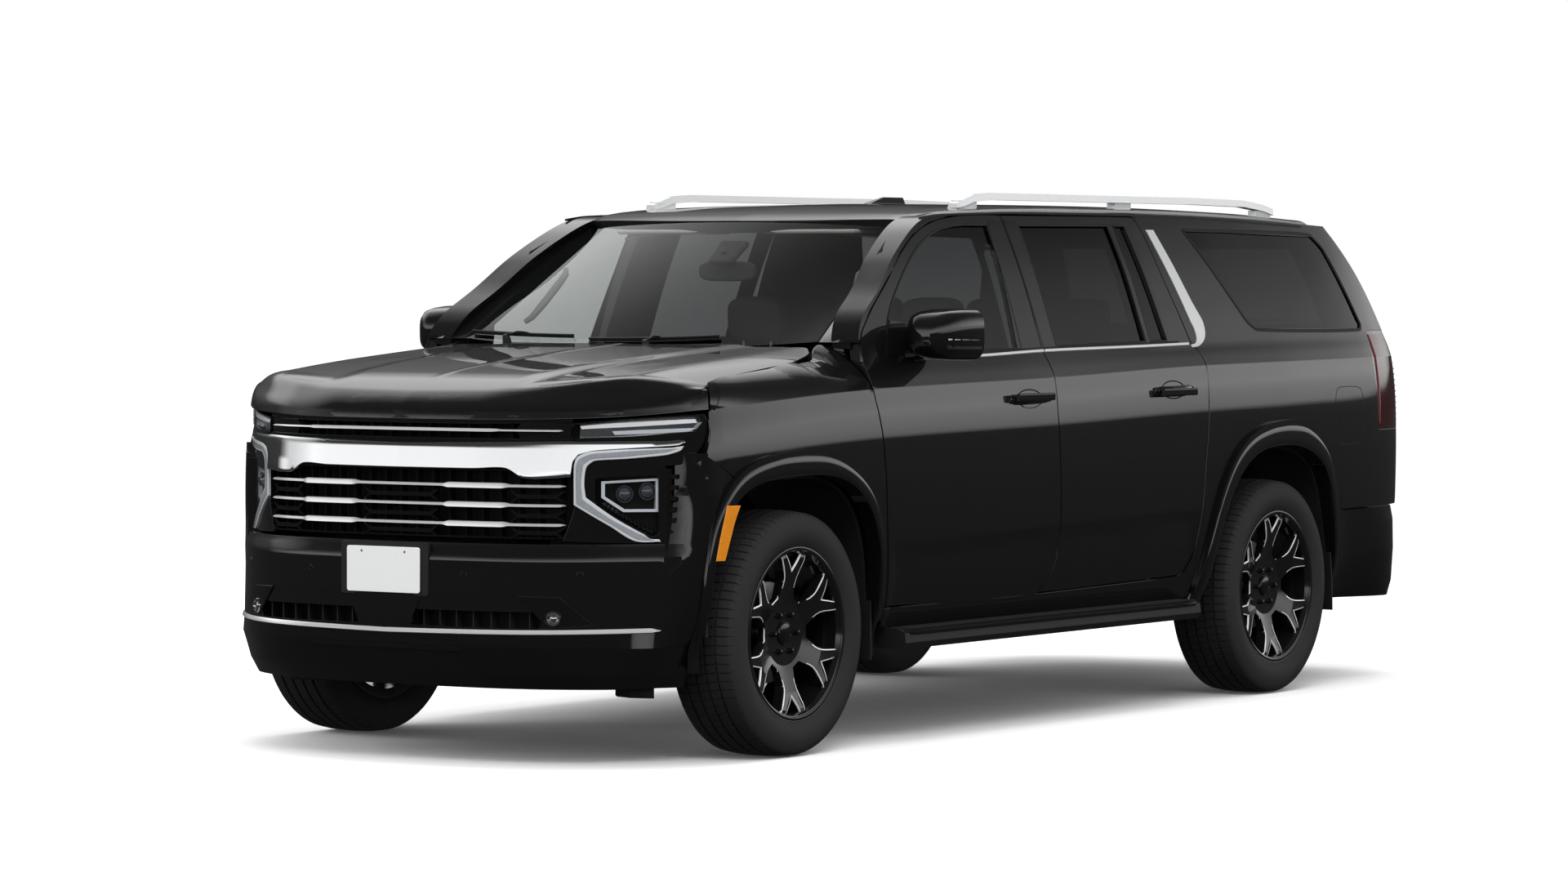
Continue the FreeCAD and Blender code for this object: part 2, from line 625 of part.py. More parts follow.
def front_bumper():
    levels = ((262, 66), (312, 26), (400, 2), (470, 0), (600, 2), (700, 6), (742, 24), (900, 62), (1040, 70))
    shell = Part.makeLoft([nose_wire(BUMPER_PLAN, z, back, 58, -2130) for z, back in levels], True, True)
    upper = [(-880, 742), (880, 742), (880, 1300), (-880, 1300)]
    shell = shell.cut(prism_y(upper, -3000, -2300))
    shell = shell.cut(arch_prism(FRONT_ARCH, FRONT_AXLE_Y, -1200, 1200))
    shell = shell.cut(box(-1200, 1200, -2385, -2000, 200, 310))
    intake = [(-560, 428), (560, 428), (600, 520), (-600, 520)]
    shell = shell.cut(prism_y(intake, -2950, -2600))
    lip = flare(FRONT_ARCH, FRONT_FLARE, FRONT_AXLE_Y, -2420, -2100).cut(box(600, 1200, -2600, -2000, 200, 310))
    whole = join([shell, lip, mirror(lip)])
    behind_seam = prism_x(BEHIND_NOSE, 600, 1200)
    return whole.cut(behind_seam).cut(mirror(behind_seam))


def crescent(plan, half_width, back, depth, z0, z1):
    """Bar that follows the nose's plan between two heights."""
    points = []
    for (xa, ya), (xb, yb) in zip(plan, plan[1:]):
        if xa >= half_width:
            break
        points.append((xa, ya))
        if xb >= half_width:
            share = (half_width - xa) / (xb - xa)
            points.append((half_width, ya + (yb - ya) * share))
    if points[-1][0] < half_width:
        points.append((half_width, plan[-1][1] + (half_width - plan[-1][0]) * 1.1))
    outer = [V(-x, y + back, z0) for x, y in points[:0:-1]] + [V(x, y + back, z0) for x, y in points]
    inner = [p + V(0, depth, 0) for p in outer]
    wire = Part.Wire([spline(outer), line(outer[-1], inner[-1]), spline(inner[::-1]), line(inner[0], outer[0])])
    return Part.Face(wire).extrude(V(0, 0, z1 - z0))


GRILLE_HALF = 640.0
BAR_HEIGHTS = ((926, 954), (856, 884), (792, 816))


def grille():
    """Bright bars on a dark lattice."""
    pieces = [crescent(GRILLE_PLAN, GRILLE_HALF, 50, 30, 742 + SEAT_GAP, 1140)]
    lattice = pieces[0]
    cells = []
    rows = ((760, 788), (820, 852), (888, 922), (958, 980), (1092, 1120))
    for z0, z1 in rows:
        for i in range(-5, 5):
            cells.append(box(i * 120 + 9, i * 120 + 111, -2900, -2500, z0, z1))
    lattice = lattice.cut(cells)
    bars = [crescent(GRILLE_PLAN, 612, 12, 40, z0, z1) for z0, z1 in BAR_HEIGHTS]
    bars.append(crescent(GRILLE_PLAN, 610, 14, 38, 1122, 1138))
    band = crescent(GRILLE_PLAN, GRILLE_HALF, 0, 52, 984, 1086)
    return one([lattice, band] + bars)


def headlamp():
    """Lamp body that wraps from the grille round to the fender."""
    levels = ((742 + SEAT_GAP, 58), (860, 52), (1000, 46), (1070, 40), (1138, 36))
    inside = GRILLE_HALF + SEAT_GAP
    wires = []
    for z, back in levels:
        outer = [(inside, -2687), (760, -2596), (870, -2488)]
        points = [V(x, y + back * 0.2, z) for x, y in outer] + [V(side_x(-2405, z), -2405, z), V(side_x(-2372, z), -2372, z)]
        inner = [V(inside, -2560, z), V(845, -2372, z)]
        wires.append(Part.Wire([spline(points), line(points[-1], inner[1]), line(inner[1], inner[0]), line(inner[0], points[0])]))
    lamp = Part.makeLoft(wires, True, True)
    behind_seam = prism_x([(-2394.9, 1020), (-2366.4, 1110), (-2363.4, 1400), (-2200, 1400), (-2200, 1020)], 600, 1200)
    return lamp.cut([box(880 - SEAT_GAP, 1100, -2700, -2300, 700, 1040 + SEAT_GAP), behind_seam])


def windscreen():
    lines = []
    for share, bow in ((0.0, 0.0), (0.5, 8.0), (1.0, 0.0)):
        edge = PILLAR_BASE + (PILLAR_TOP - PILLAR_BASE) * share + V(-3, -2, 2)
        crown = V(0, -1475 + share * 655 - bow, 1366 + share * 452 + bow)
        quarter = V(edge.x * 0.55, crown.y + (edge.y - crown.y) * 0.3, crown.z + (edge.z - crown.z) * 0.3)
        half = [crown, quarter, edge]
        lines.append(Part.Wire([spline([V(-p.x, p.y, p.z) for p in half[:0:-1]] + half)]))
    outside = Part.makeLoft(lines, False, False)
    return outside.Faces[0].extrude(V(0, 3.2, -4.2))


def roof():
    wires = []
    for y in (-820, -700, -600, -400, -200, 0, 500, 1000, 1500, 2000, ROOF_REAR_Y):
        edge_x, edge_z, crown = ROOF_HALF(y), ROOF_EDGE_Z(y), ROOF_CROWN_Z(y)
        rise = crown - edge_z
        shares = ((0.0, 1.0), (0.525, 0.87), (0.905, 0.58), (0.976, 0.34), (1.0, 0.0))
        half = [V(edge_x * across, y, edge_z + rise * height) for across, height in shares]
        top = [V(-p.x, y, p.z) for p in half[:0:-1]] + half
        low = [V(-640, y, edge_z - 14), V(0, y, crown - 44), V(640, y, edge_z - 14)]
        wires.append(Part.Wire([spline(top), line(top[-1], low[-1]), spline(low[::-1]), line(low[0], top[0])]))
    panel = Part.makeLoft(wires, True, False)
    left = [(1000, -1200), (1000, -735), (680, -746), (540, -764), (400, -783), (200, -799), (0, -804)]
    panel = panel.cut(prism_z(left + [(-x, y) for x, y in left[::-1] if x > 0], 1600, 2000))
    hinges = [box(s * 410 - 35, s * 410 + 35, ROOF_REAR_Y - 20, GATE_HINGE[0] - SEAT_GAP, 1822, 1846) for s in (-1, 1)]
    return join([panel] + hinges)


def antenna():
    rings = []
    for z, x, y0, y1 in ((1886, 19, 80, 345), (1900, 15, 110, 345), (1922, 5, 210, 345)):
        rings.append(polygon([V(-x, y0, z), V(-x, y1, z), V(x, y1, z), V(x, y0, z)]))
    return Part.makeLoft(rings, True, True)


def liftgate_half_width(z):
    return curve((700, 800), (1250, 800), (1430, 770), (1800, 660), (1900, 640))(z)


def liftgate():
    """Tailgate leaf with its spoiler and window."""
    wires = []
    heights = (740, 900, 1100, 1250, 1340, 1430, 1550, 1680, 1800)
    for x in (-800, -650, -400, 0, 400, 650, 800):
        outer = [V(x, tail_y(x, z), z) for z in heights]
        inner = [V(x, tail_y(x, z) - 55, z) for z in heights]
        wires.append(Part.Wire([spline(outer), line(outer[-1], inner[-1]), spline(inner[::-1]), line(inner[0], outer[0])]))
    leaf = Part.makeLoft(wires, True, False)
    sides = [(liftgate_half_width(z) - SHUT_GAP, z) for z in (730, 1250, 1430, 1800)]
    front_view = sides + [(-x, z) for x, z in sides[::-1]]
    leaf = leaf.common(prism_y(front_view, 2000, 3000))
    window = [(-610, 1420), (610, 1420), (555, 1745), (-555, 1745)]
    leaf = leaf.cut(prism_y(window, 2000, 3000))
    top_y = GATE_HINGE[0]
    spoiler = []
    for x in (-690, -400, 0, 400, 690):
        sweep = TAIL_PLAN(abs(x)) * 1.6
        crown = ROOF_CROWN_Z(2230) - (abs(x) / 742.0) ** 2.6 * 20
        spoiler.append(polygon([
            V(x, top_y, crown), V(x, 2485 - sweep, crown - 34), V(x, 2470 - sweep, crown - 62), V(x, 2360 - sweep, 1790), V(x, top_y, 1800),
        ]))
    spoiler = Part.makeLoft(spoiler, True, True)
    return one([leaf, spoiler])


def liftgate_glass():
    window = [(-609, 1421), (609, 1421), (554, 1744), (-554, 1744)]
    wires = []
    for x in (-650, -400, 0, 400, 650):
        outer = [V(x, tail_y(x, z) - 6, z) for z in (1400, 1500, 1600, 1700, 1780)]
        inner = [p + V(0, -GLASS_THICKNESS, 0) for p in outer]
        wires.append(Part.Wire([spline(outer), line(outer[-1], inner[-1]), spline(inner[::-1]), line(inner[0], outer[0])]))
    return Part.makeLoft(wires, True, False).common(prism_y(window, 2000, 3000))


REAR_BUMPER_PLAN = [(0, TAIL_Y), (450, 2866), (680, 2832), (830, 2762), (925, 2640)]


def rear_bumper():
    wires = []
    for z, back in ((330, 60), (390, 20), (520, 0), (640, 4), (694, 26)):
        half = [V(x, y - back, z) for x, y in REAR_BUMPER_PLAN]
        half += [V(side_x(2400, z), 2400, z), V(side_x(2020, z), 2020, z)]
        outer = [V(-p.x, p.y, z) for p in half[:0:-1]] + half
        inner_half = [V(p.x * 0.93, p.y - 60, z) for p in half[:-1]] + [V(half[-1].x - 58, 2020, z)]
        inner = [V(-p.x, p.y, z) for p in inner_half[:0:-1]] + inner_half
        wires.append(Part.Wire([spline(outer), line(outer[-1], inner[-1]), spline(inner[::-1]), line(inner[0], outer[0])]))
    shell = Part.makeLoft(wires, True, True)
    shell = shell.cut(arch_prism(REAR_ARCH, REAR_AXLE_Y, -1200, 1200))
    shell = shell.cut(prism_y([(-70, 300), (70, 300), (70, 470), (-70, 470)], 2700, 3000))
    lip = flare(REAR_ARCH, REAR_FLARE, REAR_AXLE_Y, 850, 2075)
    lip = lip.common(box(800, 1100, 2000 + SEAT_GAP, 2200, 420, BUMPER_SEAM_Z - SEAT_GAP))
    return join([shell, lip, mirror(lip)])


# Running gear
def tyre():
    half = TYRE_WIDTH / 2
    points = [
        (BEAD_RADIUS, -half * 0.8), (BEAD_RADIUS + 62, -half), (398, -half * 0.93), (TYRE_RADIUS - 4, -half * 0.72),
        (TYRE_RADIUS, -half * 0.4), (TYRE_RADIUS, half * 0.4), (TYRE_RADIUS - 4, half * 0.72), (398, half * 0.93),
        (BEAD_RADIUS + 62, half), (BEAD_RADIUS, half * 0.8),
    ]
    face = Part.Face(polygon([V(x, 0, r) for r, x in points]))
    return face.revolve(V(0, 0, 0), V(1, 0, 0), 360)


SPOKES = 6
LUG_CIRCLE = 139.7
FACE_X = RIM_WIDTH / 2 - 14.0


def wheel_windows():
    """Openings of the wheel's face: six between the spokes, six in their forks."""
    cuts = []
    unit = RIM_RADIUS
    for k in range(SPOKES):
        turn = k * 360.0 / SPOKES
        fork = polygon([V(0, -0.165 * unit, 0.93 * unit), V(0, 0, 0.72 * unit), V(0, 0.165 * unit, 0.93 * unit)])
        cuts.append((fork, turn))
        a, b = math.radians(60), 0.914
        side = [(0.40, 0.15), (0.60, 0.122), (0.90, 0.2575)]
        left = [V(0, w * unit, r * unit) for r, w in side]
        right = []
        for r, w in side:
            y, z = -w * unit, r * unit
            right.append(V(0, y * math.cos(a) + z * math.sin(a), z * math.cos(a) - y * math.sin(a)))
        middle = V(0, 0.935 * unit * math.sin(a / 2), 0.935 * unit * math.cos(a / 2))
        window = Part.Wire([
            line(left[0], left[1]), line(left[1], left[2]), Part.Arc(left[2], middle, right[2]).toShape(),
            line(right[2], right[1]), line(right[1], right[0]), line(right[0], left[0]),
        ])
        cuts.append((window, turn))
    result = []
    for wire, turn in cuts:
        tool = Part.Face(wire).extrude(V(90, 0, 0))
        tool.translate(V(40, 0, 0))
        tool.rotate(V(0, 0, 0), V(1, 0, 0), turn)
        result.append(tool)
    return result


def wheel():
    """Rim with its spoked face, hub, lug nuts and brake disc, centred on its own axis."""
    out, lip = RIM_WIDTH / 2, RIM_RADIUS
    face_x = FACE_X
    profile = [
        (lip, -out), (BEAD_RADIUS - SEAT_GAP, -out + 8), (BEAD_RADIUS - SEAT_GAP, out - 8), (lip, out - 2), (lip, out), (278, out - 4),
        (270, out - 20), (262, -out + 4), (lip - 8, -out),
    ]
    barrel = Part.Face(polygon([V(x, 0, r) for r, x in profile])).revolve(V(0, 0, 0), V(1, 0, 0), 360)
    dish = [
        (0, face_x - 74), (60, face_x - 74), (100, face_x - 66), (262, face_x - 40), (276, face_x - 20), (276, face_x - 4),
        (262, face_x - 2), (200, face_x - 12), (110, face_x - 38), (0, face_x - 44),
    ]
    face = Part.Face(polygon([V(x, 0, r) for r, x in dish])).revolve(V(0, 0, 0), V(1, 0, 0), 360)
    face = face.cut(wheel_windows())
    pieces = [barrel, face]
    for k in range(6):
        turn = math.radians(60 * k + 30)
        y, z = LUG_CIRCLE / 2 * math.sin(turn), LUG_CIRCLE / 2 * math.cos(turn)
        pieces.append(Part.makeCylinder(11, 26, V(face_x - 58, y, z), V(1, 0, 0)))
    pieces.append(Part.makeCylinder(40, 22, V(face_x - 60, 0, 0), V(1, 0, 0)))
    pieces.append(Part.makeCylinder(78, face_x - 72 - DISC_X, V(DISC_X, 0, 0), V(1, 0, 0)))
    pieces.append(Part.makeCylinder(DISC_RADIUS, 30, V(DISC_X, 0, 0), V(1, 0, 0)))
    return one(pieces)


DISC_X = -30.0
DISC_RADIUS = 172.0


def placed_wheel(shape, side, y, track):
    shape = shape.copy() if side > 0 else mirror(shape)
    shape.translate(V(side * track / 2, y, AXLE_Z))
    return shape


def knuckle():
    """Steered upright with its stub, caliper and ball joint ears."""
    x = TRACK_FRONT / 2 + DISC_X
    y = FRONT_AXLE_Y
    stub = Part.makeCylinder(62, 61 - SEAT_GAP, V(x - 61, y, AXLE_Z), V(1, 0, 0))
    upright = box(x - 100, x - 60, y - 60, y + 60, KNUCKLE_LOW_Z, KNUCKLE_HIGH_Z)
    ears = [Part.makeCylinder(26, 36, V(KINGPIN_X, y, z)) for z in (KNUCKLE_LOW_Z, KNUCKLE_HIGH_Z - 36)]
    caliper = box(x - 45, x - 1, y + 96, y + 178, AXLE_Z - 100, AXLE_Z + 100)
    bridge = box(x - 100, x - 40, y + 40, y + 130, AXLE_Z - 40, AXLE_Z + 40)
    arm = box(x - 130, x - 70, y - 170, y - 40, AXLE_Z - 70, AXLE_Z - 40)
    return one([stub, upright, caliper, bridge, arm] + ears)


KNUCKLE_LOW_Z = AXLE_Z - 150
KNUCKLE_HIGH_Z = AXLE_Z + 190
ARM_PLATE = 22.0
RACK_BEHIND = 110.0
RACK_Z = 380.0
RACK_RADIUS = 27.0
DIFF_MEMBER_Y = FRONT_AXLE_Y + 150
LOWER_ARM_Z = KNUCKLE_LOW_Z - SEAT_GAP - ARM_PLATE
UPPER_ARM_Z = KNUCKLE_HIGH_Z + SEAT_GAP
TOWER_Z = 850.0
# Rise of the strut's rim above its centre, from its lean
STRUT_LEAN = 0.6
RAIL_FRONT_Z = 462.0
RAIL_REAR_Z = 520.0
RAIL_HEIGHT = 140.0


def wishbone(inner_x, half, z):
    """Pressed arm, wide at the frame and narrow at the ball joint."""
    y = FRONT_AXLE_Y
    tip = KINGPIN_X
    outline = [(inner_x, y - half), (inner_x + 44, y - half), (tip - 10, y - 28), (tip - 10, y + 28), (inner_x + 44, y + half), (inner_x, y + half)]
    hole = [(inner_x - 9, y - half + 50), (inner_x + 30, y - half + 50), (tip - 90, y - 14), (tip - 90, y + 14), (inner_x + 30, y + half - 50), (inner_x - 9, y + half - 50)]
    arm = prism_z(outline, z, z + ARM_PLATE).cut(prism_z(hole, z - 5, z + ARM_PLATE + 5))
    return one([arm, Part.makeCylinder(28, ARM_PLATE, V(tip, y, z))])


def front_suspension():
    """Wishbones, coil struts, steering rack and the drive shafts."""
    y = FRONT_AXLE_Y
    pieces = [wishbone(418, 215, LOWER_ARM_Z), wishbone(446, 180, UPPER_ARM_Z)]
    strut = one([tube(V(560, y, 470), V(550, y, TOWER_Z - SEAT_GAP - STRUT_LEAN), 22), tube(V(560, y, 500), V(551, y, 820), 42)])
    shaft = one([tube(V(180, y, AXLE_Z), V(700, y, AXLE_Z), 22), tube(V(600, y, AXLE_Z), V(690, y, AXLE_Z), 36)])
    rack = tube(V(-480, y - RACK_BEHIND, RACK_Z), V(480, y - RACK_BEHIND, RACK_Z), RACK_RADIUS)
    end = 180 - SEAT_GAP
    profile = [(-end, 0), (end, 0), (end, 40), (120, 46), (80, 92), (-80, 92), (-120, 46), (-end, 40)]
    housing = Part.Face(polygon([V(x, y, AXLE_Z + r) for x, r in profile])).revolve(V(0, y, AXLE_Z), V(1, 0, 0), 360)
    nose = box(-50, 50, y + 30, DIFF_MEMBER_Y - 30 - SEAT_GAP, AXLE_Z + 20, AXLE_Z + 80)
    return [strut, shaft] + pieces, [rack, join([housing, nose])]


ARM_X = 495.0


def rear_suspension():
    """Live axle with trailing arms below it and coil springs above it."""
    end = TRACK_REAR / 2 + DISC_X - SEAT_GAP
    profile = [(-end, 0), (end, 0), (end, 45), (150, 45), (90, 112), (40, 130), (-40, 130), (-90, 112), (-150, 45), (-end, 45)]
    beam = Part.Face(polygon([V(x, 0, r) for x, r in profile])).revolve(V(0, 0, 0), V(1, 0, 0), 360)
    beam.translate(V(0, REAR_AXLE_Y, AXLE_Z))
    arm_z = AXLE_Z - 45 - 24 - SEAT_GAP
    arm = tube(V(ARM_X, 900, arm_z), V(ARM_X, REAR_AXLE_Y + 40, arm_z), 24)
    spring = tube(V(470, REAR_AXLE_Y, AXLE_Z + 45 + SEAT_GAP), V(470, REAR_AXLE_Y, RAIL_REAR_Z - SEAT_GAP), 48)
    return solids(beam, both(arm), both(spring))


def rail_path(x_of, z_of, stations_y, width, height):
    rings = []
    for y in stations_y:
        x, z = x_of(y), z_of(y)
        rings.append(polygon([V(x - width / 2, y, z), V(x + width / 2, y, z), V(x + width / 2, y, z + height), V(x - width / 2, y, z + height)]))
    return Part.makeLoft(rings, True, True)


def chassis():
    """Ladder frame with cross members and the towing receiver."""
    x_of = curve((-2700, 440), (-1500, 440), (-1100, 520), (700, 520), (1100, 470), (2760, 470))
    z_of = curve(
        (-2700, 440), (-2300, RAIL_FRONT_Z), (-1650, RAIL_FRONT_Z), (-1420, 380), (800, 380), (1250, RAIL_REAR_Z),
        (1800, RAIL_REAR_Z), (2300, 440), (2760, 420),
    )
    ys = (-2700, -2500, -2300, -1900, -1650, -1530, -1420, -1100, 0, 800, 950, 1100, 1250, 1521, 1800, 2100, 2300, 2760)
    rail = rail_path(x_of, z_of, ys, 80, RAIL_HEIGHT)
    pieces = [rail, mirror(rail)]
    for y, size in ((-2680, 60), (-2250, 70), (DIFF_MEMBER_Y, 60), (-1350, 80), (-500, 80), (400, 80), (1180, 70), (2100, 70), (2740, 60)):
        x, z = x_of(y), z_of(y)
        pieces.append(box(-x, x, y - size / 2, y + size / 2, z + 20, z + 110))
    receiver = box(-RECEIVER_OUTER / 2, RECEIVER_OUTER / 2, 2560, RECEIVER_END_Y, RECEIVER_Z - RECEIVER_OUTER / 2, RECEIVER_Z + RECEIVER_OUTER / 2)
    cross = tube(V(-470, 2700, RECEIVER_Z), V(470, 2700, RECEIVER_Z), 38)
    drops = [box(s * 470 - 20, s * 470 + 20, 2640, 2760, RECEIVER_Z - 40, 470) for s in (-1, 1)]
    y = FRONT_AXLE_Y
    for s in (-1, 1):
        low, high = min(s * 480, s * 612), max(s * 480, s * 612)
        pieces.append(box(low, high, y - 62, y + 62, TOWER_Z, TOWER_Z + 26))
        low, high = min(s * 440, s * 488), max(s * 440, s * 488)
        pieces.append(box(low, high, y - 62, y + 62, 540, TOWER_Z + 26))
        for end in (-1, 1):
            low_z, rail_top = LOWER_ARM_Z + ARM_PLATE + SEAT_GAP, RAIL_FRONT_Z + RAIL_HEIGHT
            pieces.append(box(s * 440 - 22, s * 440 + 22, y + end * 190 - 22, y + end * 190 + 22, low_z, 480))
            pieces.append(box(s * 463 - 16, s * 463 + 16, y + end * 160 - 18, y + end * 160 + 18, rail_top - 20, UPPER_ARM_Z - SEAT_GAP))
        pieces.append(box(s * 440 - 18, s * 440 + 18, y - RACK_BEHIND - 18, y - RACK_BEHIND + 18, RACK_Z + RACK_RADIUS + SEAT_GAP, 480))
        for mount_y in (-1000, -100, 700):
            pieces.append(Part.makeCylinder(36, FLOOR_Z - SEAT_GAP - 510, V(s * x_of(mount_y), mount_y, 510)))
        low, high = sorted((s * (ENGINE_HALF + SEAT_GAP), s * 402))
        pieces.append(box(low, high, y - 40, y + 40, 586, 602))
        pieces.append(box(s * ARM_X - 20, s * ARM_X + 20, 900, 960, AXLE_Z - 45, 430))
    frame = one(pieces + [cross, receiver] + drops)
    bore = box(-RECEIVER_BORE / 2, RECEIVER_BORE / 2, 2500, 3000, RECEIVER_Z - RECEIVER_BORE / 2, RECEIVER_Z + RECEIVER_BORE / 2)
    return frame.cut(bore)


ENGINE_HALF = 300.0
RECEIVER_BORE = 51.2
RECEIVER_OUTER = 64.0
RECEIVER_Z = 400.0
RECEIVER_END_Y = 2850.0


TUNNEL_HALF = 125.0
FLOOR_HALF = 881.1
COWL_FOOT_Z = 1284.0


def floor():
    """Floor with its tunnel, bulkhead and load bay."""
    pieces = [
        box(-FLOOR_HALF, FLOOR_HALF, -1180, 980, FLOOR_Z, FLOOR_Z + 26),
        box(-640, 640, 980, 2700, FLOOR_Z + 100, FLOOR_Z + 126),
        box(-640, 640, 960, 986, FLOOR_Z, FLOOR_Z + 126),
        box(-TUNNEL_HALF, TUNNEL_HALF, -1180, 300, FLOOR_Z + 26, FLOOR_Z + 120),
        prism_x([(-1180, FLOOR_Z), (-1180, FLOOR_Z + 26), (-1360, 790), (-1360, 1080), (-1386, 1080), (-1386, 780)], -880, 880),
        box(-846, 846, -1386, -1360, 1070, COWL_FOOT_Z),
    ]
    return one(pieces)


def wheelhouse(arch, axle_y, x0, x1):
    """Lining of a wheel arch."""
    outer = arch_prism([(y * 0.999, z - 0.6) for y, z in arch], axle_y, x0, x1)
    inner = arch_prism([(y * 0.976, z - 13) for y, z in arch], axle_y, x0 - 10, x1 + 10)
    shell = outer.cut(inner)
    return shell.cut(box(x0 - 20, x1 + 20, axle_y - 900, axle_y + 900, 200, 430))


def seat(x, width, y, floor_z, tall):
    """Seat seen from the side and pushed to its width, with its headrest."""
    cushion = [
        (y - 250, floor_z), (y + 230, floor_z), (y + 240, floor_z + 220), (y + 420, floor_z + tall),
        (y + 310, floor_z + tall + 10), (y + 120, floor_z + 300), (y - 270, floor_z + 300), (y - 290, floor_z + 220),
    ]
    back = prism_x(cushion, x - width / 2, x + width / 2)
    rest = box(x - 130, x + 130, y + 320, y + 410, floor_z + tall + 4, floor_z + tall + 190)
    return one([back, rest])


def dashboard():
    """Instrument panel with its hood, centre stack and console."""
    profile = [(-1359, 1000), (-1000, 930), (-940, 1010), (-960, 1130), (-1040, 1215), (-1359, 1290)]
    panel = prism_x(profile, -800, 800)
    binnacle = prism_x([(-1080, 1190), (-960, 1120), (-940, 1200), (-1010, 1250)], COLUMN_X - 190, COLUMN_X + 190)
    screen = prism_x([(-1010, 1120), (-960, 1100), (-935, 1240), (-955, 1250)], -190, 130)
    console_z = FLOOR_Z + 120 + SEAT_GAP
    console = box(-TUNNEL_HALF, TUNNEL_HALF, -960, -120, console_z, 880)
    stack = prism_x([(-1060, console_z), (-930, console_z), (-930, 880), (-945, 1100), (-1060, 1100)], -150, 150)
    tilt = math.radians(COLUMN_TILT)
    axis = V(0, -math.cos(tilt), -math.sin(tilt))
    hub = V(COLUMN_X, COLUMN_HUB[0], COLUMN_HUB[1])
    column = tube(hub + axis * (44 + SEAT_GAP), hub + axis * 260, 42)
    return one([panel, binnacle, screen, stack, console, column])


def steering_wheel():
    ring = Part.makeTorus(182, 16)
    hub = Part.makeCylinder(62, 44, V(0, 0, -44))
    spokes = [box(-170, 170, -18, 18, -26, -8), box(-16, 16, -175, 0, -26, -8)]
    wheel_shape = one([ring, hub] + spokes)
    wheel_shape.rotate(V(0, 0, 0), V(1, 0, 0), -(90 - COLUMN_TILT))
    wheel_shape.translate(V(COLUMN_X, COLUMN_HUB[0], COLUMN_HUB[1]))
    return wheel_shape


def radiator():
    """Radiator core between its side tanks, with the fan shroud behind it."""
    front = -2650.0 + SEAT_GAP
    core = box(-330, 330, front, front + 40, 490, 1050)
    tanks = [box(s * 352 - 32, s * 352 + 32, front, front + 52, 480, 1060) for s in (-1, 1)]
    shroud = box(-330, 330, front + 40, front + 96, 510, 1030)
    fans = [Part.makeCylinder(140, 80, V(s * 165, front + 46, 770), V(0, 1, 0)) for s in (-1, 1)]
    return one([core] + tanks + [shroud.cut(fans)])


def fuel_tank():
    """Tank inside the left frame rail, held between two cross members."""
    outer = 465.0
    section = [(170, 300), (outer - 30, 300), (outer, 330), (outer, 490), (outer - 20, 510), (170, 510), (140, 480), (140, 330)]
    return prism_y(section, -460 + SEAT_GAP, 360 - SEAT_GAP)


def cowl(hood_panel):
    """Black panel at the foot of the windscreen, with the two leaves that carry the hood."""
    rings = []
    for x, y, z in ((-735, -1462, 1384), (-400, -1496, 1373), (0, -1512, 1368), (400, -1496, 1373), (735, -1462, 1384)):
        rings.append(polygon([
            V(x, y, COWL_FOOT_Z + 30), V(x, -1386, COWL_FOOT_Z + SEAT_GAP), V(x, -1362, COWL_FOOT_Z + SEAT_GAP),
            V(x, -1362, COWL_FOOT_Z + 26), V(x, y + 50, z - 24), V(x, y, z - 34),
        ]))
    below_hood = hood_panel.copy()
    below_hood.translate(V(0, 0, -SEAT_GAP))
    leaves = []
    for x in (-400, 400):
        leaves.append(box(x - 22, x + 22, -1512, -1488, 1314, 1334))
        leaves.append(box(x - 22, x + 22, -1536, -1511, 1314, 1352).cut(below_hood))
    return join([Part.makeLoft(rings, True, True)] + leaves)


def running_board(side):
    top = SILL_Z - SEAT_GAP
    board = prism_y([(930, 330), (1022, 330), (1034, 352), (1030, 386), (1000, top), (900, top), (860, 350)], -1260, 840)
    brackets = [box(560 + SEAT_GAP, 935, y - 30, y + 30, 345, 392) for y in (-1000, -200, 600)]
    shape = one([board] + brackets)
    return shape if side > 0 else mirror(shape)


def roof_rail(roof_panel):
    """Raised bright rail on the roof's edge."""
    top = curve((-360, 1892), (-250, 1922), (-100, RAIL_TOP_Z), (1400, RAIL_TOP_Z), (1850, 1924), (2030, 1896))
    rings = []
    for y in (-370, -320, -250, -100, 200, 800, 1400, 1800, 1950, 2040):
        z = max(top(y), ROOF_EDGE_Z(y) + 26)
        foot = max(z - 26, ROOF_EDGE_Z(y) + 18)
        x = 668
        rings.append(polygon([V(x - 22, y, foot), V(x + 22, y, foot), V(x + 18, y, z), V(x - 14, y, z)]))
    rail = Part.makeLoft(rings, True, True)
    feet = [box(650, 686, y - 60, y + 60, ROOF_EDGE_Z(y) + 5, ROOF_EDGE_Z(y) + 44) for y in (-290, 840, 1960)]
    above_roof = roof_panel.copy()
    above_roof.translate(V(0, 0, SEAT_GAP))
    return one([rail] + feet).cut(above_roof)


def mud_flap(axle_y, outline):
    return prism_x([(axle_y + y, z) for y, z in outline], 795, 985)


FRONT_FLAP = [(473, 300), (481, 300), (480, 430), (477, 505), (469, 505), (472, 430)]
REAR_FLAP = [(474, 300), (482, 300), (477, 430), (463, 530), (455, 530), (469, 430)]


